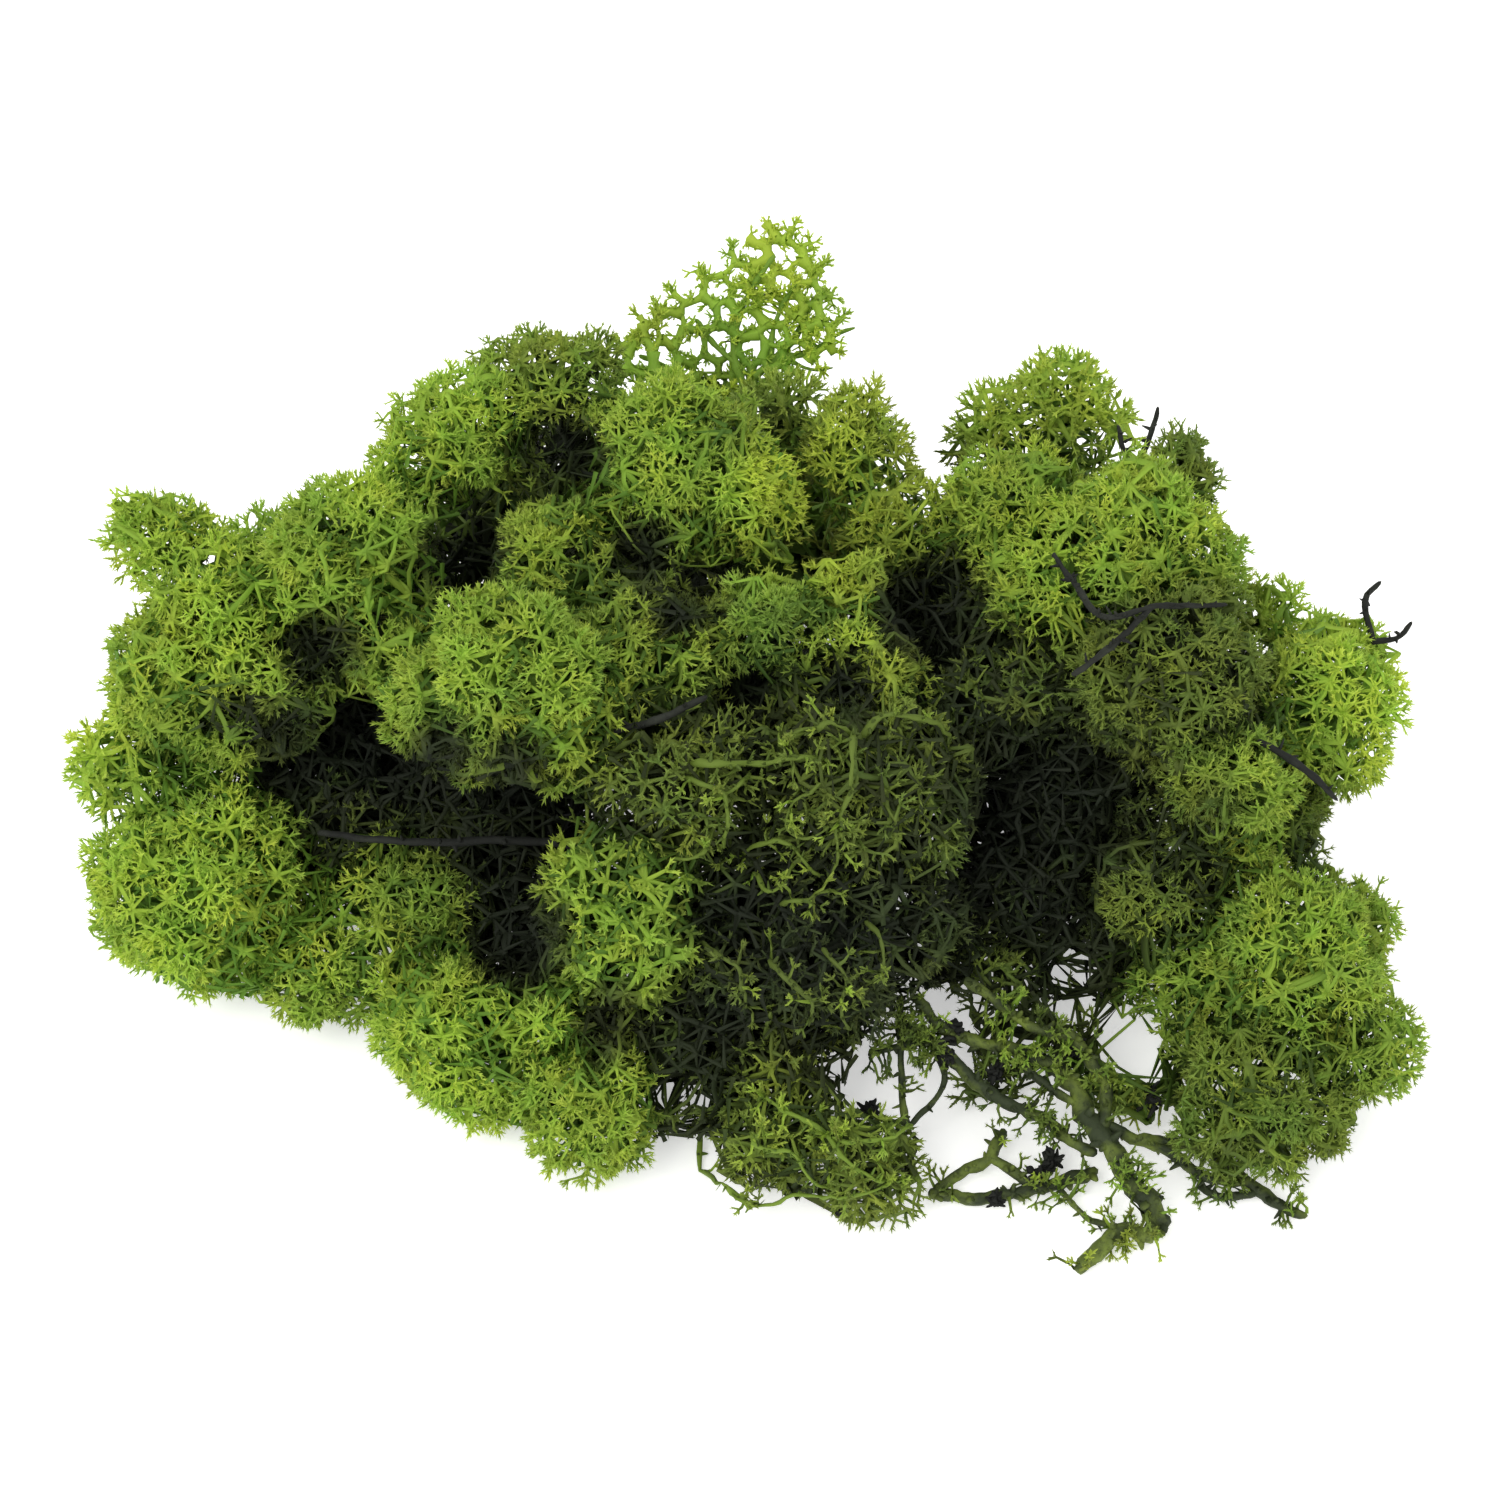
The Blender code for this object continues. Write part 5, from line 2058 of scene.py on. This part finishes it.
    def _runner(self, runner: Runner, lift: float = 0.3, sink: float = 2.0, slope: float = 2.4) -> None:
        """Lays a bare branch over the growth, where the photo's view shows it.

        Args:
            runner: Its course and girth.
            lift: How far its middle lies above the skin, in millimetres.
            sink: How deep its ends go in, in millimetres.
            slope: How much of it bends down at each end, in millimetres.
        """
        course = curve(np.array(runner.course), self.STEP)
        points = np.array([self.around.seen_at(self.picture, point) for point in course])
        out = self.mass.way_out(points)
        for _ in range(9):
            buried = self.mass.at(self.mass.full, points) > SPARE.full
            points[buried] += out[buried] * (0.4 * MM)
        share = np.linspace(0, 1, len(points))
        from_end = np.minimum(share, 1 - share) * len(points) * self.STEP
        ends = np.clip(1 - from_end / slope, 0, 1) ** 2
        points += out * ((lift - (sink + lift) * ends) * MM)[:, None]
        for _ in range(2):
            points[1:-1] = (points[:-2] + points[1:-1] * 2 + points[2:]) / 4
        bends = [noise.noise_vector(Vector(point / (1.8 * MM))) for point in points]
        points += np.array(bends) * (0.45 * MM)
        radii = runner.girth * 0.85 * MM * (1 - 0.35 * share) * (1 + 0.7 * noise_at(points, 1.2 * MM))
        look = np.array([0.95, 0.6, min(self.plan.dullness, 0.72) - 0.1])
        self._tube(points, radii, look, sides=6, age=0.5)
        centimetres = len(points) * self.STEP / 10
        self._stubs(points, radii, round(runner.knobs * centimetres), look)
        self._sprouts(points, radii, round(runner.sprouts * centimetres), look)

    def _bridged(self, points: Array, normals: Array) -> tuple[Array, Array]:
        """Moves points out of the creases onto the skin of the whole mass, and drops buried ones.

        Args:
            points: Points on the solid's skin.
            normals: The ways out.

        Returns:
            The points that are left, the ways out there, and how far each was moved.
        """
        lift = np.zeros(len(points))
        buried = np.ones(len(points), bool)
        for height in np.arange(0, SPARE.bridge + 0.01, 0.4) * MM:
            buried &= self.mass.at(self.mass.full, points + normals * height) > SPARE.full
            lift[buried] = height
        keep = ~buried | (self.rng.random(len(points)) < SPARE.buried)
        lift[buried] = 0
        points = points[keep] + normals[keep] * lift[keep, None]
        return points, unit(normals[keep] * 0.5 + self.mass.way_out(points)), lift[keep]

    def _smooth_openness(self, points: Array, normals: Array, gap: float = 2.5 * MM) -> Array:
        """Openness at a few points, carried over to those between them.

        Args:
            points: Places on the skin.
            normals: The ways out.
            gap: How far apart the few stand.

        Returns:
            How much sky each point sees.
        """
        few = thinned(points, np.full(len(points), gap))
        values = self.around.openness(points[few], normals[few])
        tree = tree_of(points[few])
        result = np.empty(len(points))
        for index, point in enumerate(points):
            near = tree.find_n(point, 4)
            weights = np.array([1 / (hit[2] + 0.5 * MM) for hit in near])
            result[index] = weights @ values[[hit[1] for hit in near]] / weights.sum()
        return result

    def _forks(self, level: Shoots, gap: float, depth: float, step: int) -> tuple[Shoots, Array]:
        """Places forks below the shoots of one level.

        Args:
            level: The shoots that they will carry.
            gap: How far apart the forks stand, in millimetres.
            depth: How deep they lie, in millimetres.
            step: Which level this is.

        Returns:
            The forks, and each shoot's fork by number.
        """
        order = self.rng.permutation(len(level))
        chosen = order[thinned(level.skin[order], np.full(len(order), gap * MM))]
        ways = zip(level.skin[chosen], level.out[chosen])
        rooms = np.array([self.skin.room(point, -out) for point, out in ways])
        roomy = rooms > min(2.5 * MM, rooms.max())
        chosen, rooms = chosen[roomy], rooms[roomy]
        sunk = np.minimum(depth * MM, 0.45 * rooms)[:, None]
        stray = self.rng.normal(size=(len(chosen), 3)) * (self.plan.habit.stray * MM * (1 + 0.5 * step))
        forks = level.pick(chosen)
        forks.places = forks.skin - forks.out * sunk + stray
        parent = nearest(level.places, forks.places)
        used = np.bincount(parent, minlength=len(forks)) > 0
        forks = forks.pick(used)
        parent = (np.cumsum(used) - 1)[parent]
        thick = np.sqrt(np.bincount(parent, weights=level.radius**2, minlength=len(forks))) * 0.8
        forks.radius = np.clip(thick, level.radius.min() * 1.15, (0.2 + 0.15 * (step + 1)) * MM)
        # Painted shade: each lower level of forks is given less sky, so it is painted darker.
        forks.look = forks.look * np.array([0.8, 1, 1])
        return forks, parent

    def _foot(self, level: Shoots) -> Shoots:
        """Places the foot low in the solid, where all the limbs meet.

        Args:
            level: The forks that the limbs lead to.

        Returns:
            The foot, a row for each limb.
        """
        low, high = self.skin.places[:, 2].min(), self.skin.places[:, 2].max()
        place = self.skin.middle.copy()
        place[2] = low + 0.35 * (high - low)
        foot = level.pick(np.arange(len(level)))
        foot.places = np.repeat(place[None], len(level), axis=0)
        foot.out = unit(level.places - foot.places)
        foot.radius = np.maximum(level.radius * 1.2, 0.5 * MM)
        # Painted shade: the foot is given still less sky.
        foot.look = level.look * np.array([0.6, 1, 1])
        return foot

    def _net(self, forks: Shoots, age: float, links: int = 3, bent: bool = True) -> None:
        """Joins forks to their neighbours, as old branches of this lichen grow into each other.

        Args:
            forks: What to join.
            age: How old the links are.
            links: How many neighbours each fork looks for.
            bent: Whether the links sag, or else are straight and run out to a point.
        """
        if len(forks) < 3:
            return
        tree = tree_of(forks.places)
        pairs = {
            (min(index, hit[1]), max(index, hit[1]))
            for index, place in enumerate(forks.places)
            for hit in tree.find_n(place, links + 1)
            if hit[1] != index
        }
        rows = self.rng.permuted(np.array(sorted(pairs)), axis=1)
        far = np.linalg.norm(forks.places[rows[:, 0]] - forks.places[rows[:, 1]], axis=1)
        rows = rows[far < 1.8 * np.median(far)]
        start, end = forks.pick(rows[:, 0]), forks.pick(rows[:, 1])
        thick = np.minimum(start.radius, end.radius) * 0.8
        span = np.linalg.norm(end.places - start.places, axis=1, keepdims=True)
        sag = start.out * span * self.rng.uniform(-0.35, 0.15, span.shape)
        middle = (start.places + end.places) / 2 + sag + self.rng.normal(size=sag.shape) * span * 0.08
        past = end.places + unit(end.places - start.places) * thick[:, None]
        begin = start.places + self.rng.normal(size=sag.shape) * span * 0.14
        stops = [start.places, middle, end.places, past] if bent else [begin, past]
        points = np.stack(stops, axis=1)
        radii = np.repeat(thick[:, None], len(stops) - 1, axis=1)
        share = np.minimum(np.linspace(0, 1.3, len(stops)), 1)
        self.branches.add(points, radii, self._traits(start, end, (age, age), share), start.out)

    def _old_wood(self, bridge: float = 1.5) -> None:
        """Fills the inside with the thick branches that the young growth stands on, dull with age and
        painted darker, a painted shade.

        Args:
            bridge: How far they may stand out of the solid where it is pressed on others, in millimetres.
        """
        habit = self.plan.habit
        gap = habit.wood_gap * MM
        low, high = self.skin.places.min(axis=0) - bridge * MM, self.skin.places.max(axis=0) + bridge * MM
        places = self.rng.uniform(low, high, (int(14 * np.prod(high - low) / gap**3), 3))
        full = self.mass.at(self.mass.full, places)
        places = places[(full > habit.wood_from) & self._clear(places)]
        if self.plan.web:
            places = places[places[:, 2] < self.plan.web.over * MM]
        hits = [self.skin.search.find_nearest(Vector(place)) for place in places]
        near = np.array(
            [
                far < bridge * MM or (Vector(place) - spot).dot(way) < 0
                for place, (spot, way, _, far) in zip(places, hits)
            ],
            bool,
        )
        places, out = places[near], np.array([hit[1] for hit in hits])[near]
        kept = thinned(places, np.full(len(places), gap)) if near.any() else []
        if len(kept) < 4:
            return
        places, out = places[kept], out[kept]
        inner = np.clip((self.mass.at(self.mass.full, places) - 0.84) / 0.14, 0, 1)
        radius = (habit.wood_radius[0] + (habit.wood_radius[1] - habit.wood_radius[0]) * inner) * MM
        # Painted shade: the old wood is given half the sky or less, least in the middle of the mass, so it
        # is painted darker.
        wood = Shoots(places, places, out, radius, self._look(places, 0.5 - 0.2 * inner))
        if habit.wood_shows:
            self._net(wood.pick(np.flatnonzero(inner < 0.3)), 1.0, links=2)
        self._net(wood, 1.0, links=7, bent=False)


@dataclass
class Stem(Growth):
    """A bare stem or twig, with stubs of lost branches and a few young shoots.

    Attributes:
        plan: Its course and what grows on it.
    """

    plan: StemPlan

    # The numbers of its materials.
    BARK_PAINT, SHOOT_PAINT, CRUMB_PAINT = range(3)
    # How many twigs a millimetre of a crumb's reach gives, and their radius along them, in millimetres.
    CRUMB_TWIGS = 24
    CRUMB_GIRTHS = (0.26, 0.22, 0.2)

    def build(self, finishes: Iterable[bpy.types.Material]) -> bpy.types.Object:
        """Makes the stem.

        Args:
            finishes: The materials of its bark, its shoots and its crumbs, in the order of the paints.

        Returns:
            Its piece.
        """
        for strand in self.plan.strands:
            stops = [
                [*self.picture.at_height(point, height), radius * MM]
                for *point, height, radius in strand.course
            ]
            course = curve(np.array(stops), self.STEP * MM)
            points, radii = course[:, :3], course[:, 3]
            bends = [noise.noise_vector(Vector(point / (2.5 * MM))) for point in points]
            points = points + np.array(bends) * (0.5 * radii)[:, None]
            points[:, 2] = np.maximum(points[:, 2], radii)
            look = np.array([0.9, strand.rub, self.plan.dullness])
            self._tube(points, radii, look, sides=9, rough=self.plan.rough)
            centimetres = len(points) * self.STEP / 10
            self._stubs(points, radii, round(self.plan.knobs * centimetres), look)
            self.branches.paint = self.SHOOT_PAINT
            self._sprouts(points, radii, round(self.plan.sprouts * centimetres), look)
            self.branches.paint = self.BARK_PAINT
        self.branches.paint = self.CRUMB_PAINT
        for crumb in self.plan.crumbs:
            self._crumb(crumb)
        return self.branches.build(self.name + "_bark", finishes)

    def _crumb(self, crumb: tuple[float, float, float, float]) -> None:
        """Adds a dead black tuft: a lump of short thick twigs that lie every way.

        Args:
            crumb: Where it is and how far its twigs reach, as in the plan.
        """
        *point, height, reach = crumb
        heart = self.picture.at_height(point, height)
        count = round(self.CRUMB_TWIGS * reach)
        girths = np.array(self.CRUMB_GIRTHS) * MM
        ways = unit(self.rng.normal(size=(count, 3)))
        for way, far in zip(ways, self.rng.uniform(0.25, 0.65, count) * reach * MM):
            bend = unit(way + self.rng.normal(0, 0.9, 3))
            begin = heart + self.rng.normal(0, 0.22, 3) * reach * MM
            course = np.array([begin, begin + way * far * 0.6, begin + (way + bend * 0.8) * far * 0.7])
            self._tube(course, girths, np.array([0.9, 0.0, 1.0]), sides=5, rough=0.4)


@dataclass(frozen=True)
class Studio:
    """A white acrylic table under a bright, soft sky, lit a little from below so that shadows stay pale.

    Attributes:
        sky: How bright the sky is.
        table_size: The table's side, in metres.
        table_light: How bright the light that comes through the table is.
        table_tints: The two whites that cloud the acrylic, which hardly differ.
        table_roughness: Sanded acrylic is matt.
        key: How bright the lamp is.
        key_turn: How far it leans forward and to the side, in degrees.
        key_softness: How wide it looks, in degrees.
        key_colour: A warm white.
    """

    sky: float = 1.06
    table_size: float = 4.0
    table_light: float = 0.46
    table_tints: tuple[str, str] = ("#f7f7f5", "#ffffff")
    table_roughness: float = 0.9
    key: float = 0.9
    key_turn: tuple[float, float] = (28.0, -24.0)
    key_softness: float = 25.0
    key_colour: tuple[float, float, float] = (1.0, 0.99, 0.96)

    def build(self) -> None:
        """Makes the table, the sky and the lamp."""
        scene = bpy.context.scene
        scene.view_settings.view_transform = "Standard"
        bpy.ops.mesh.primitive_plane_add(size=self.table_size)
        table = bpy.context.object
        table.name = "table"
        table.data.materials.append(self._acrylic())
        world = bpy.data.worlds.new("soft_sky")
        world.use_nodes = True
        world.node_tree.nodes["Background"].inputs[0].default_value = linear("#ffffff")
        world.node_tree.nodes["Background"].inputs[1].default_value = self.sky
        scene.world = world
        lamp = bpy.data.lights.new("key", "SUN")
        lamp.energy = self.key
        lamp.angle = math.radians(self.key_softness)
        lamp.color = self.key_colour
        holder = bpy.data.objects.new("key", lamp)
        forward, aside = self.key_turn
        holder.rotation_euler = (math.radians(forward), math.radians(aside), 0)
        scene.collection.objects.link(holder)

    def _acrylic(self) -> bpy.types.Material:
        """Builds the table's shader: sanded white acrylic over a light.

        Returns:
            Its material.
        """
        graph = ShaderGraph("white_table")
        cloud = graph.add("TexNoise", {"Scale": 3.0})
        dim, white = (linear(code) for code in self.table_tints)
        shader = graph.add(
            "BsdfPrincipled",
            {
                "Base Color": graph.add("Mix", {0: cloud, 6: dim, 7: white}, data_type="RGBA"),
                "Roughness": self.table_roughness,
                "Emission Color": white,
                "Emission Strength": self.table_light,
            },
        )
        graph.add("OutputMaterial", {"Surface": shader})
        return graph.material


def tie(piece: bpy.types.Object, node: str, slot: Slot) -> None:
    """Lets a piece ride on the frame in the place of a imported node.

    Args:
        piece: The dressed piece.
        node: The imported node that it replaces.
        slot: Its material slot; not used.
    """
    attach(piece, "root")
    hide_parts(node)


def main() -> None:
    """Dresses the clump and lights it."""
    logging.basicConfig(level=logging.INFO, format="%(message)s")
    noise.seed_set(NOISE_SEED)
    picture = Picture()
    picture.camera()
    Studio().build()
    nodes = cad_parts
    skins = {name: Skin(node) for name, node in nodes.items()}
    around = Surroundings(skins.values())
    mass = Mass(skins, PLANS)
    lichen = {slot: finish.material() for slot, finish in LICHEN.items()}
    bark = {Slot.STEM: BARK.material(), Slot.TWIG: BLACKENED.material()}
    total = 0
    for name, plan in (PLANS | STEMS).items():
        if isinstance(plan, TuftPlan):
            growth = Tuft(name, around, mass, picture, plan, skins[name])
            piece = growth.build([lichen[plan.slot]])
        else:
            growth = Stem(name, around, mass, picture, plan)
            piece = growth.build((bark[plan.slot], lichen[Slot.OLIVE], bark[Slot.TWIG]))
        tie(piece, name, plan.slot)
        total += growth.branches.size
        LOG.info("%s: %d triangles", piece.name, growth.branches.size)
    LOG.info("in all: %d triangles", total)


if __name__ == "__main__":
    main()
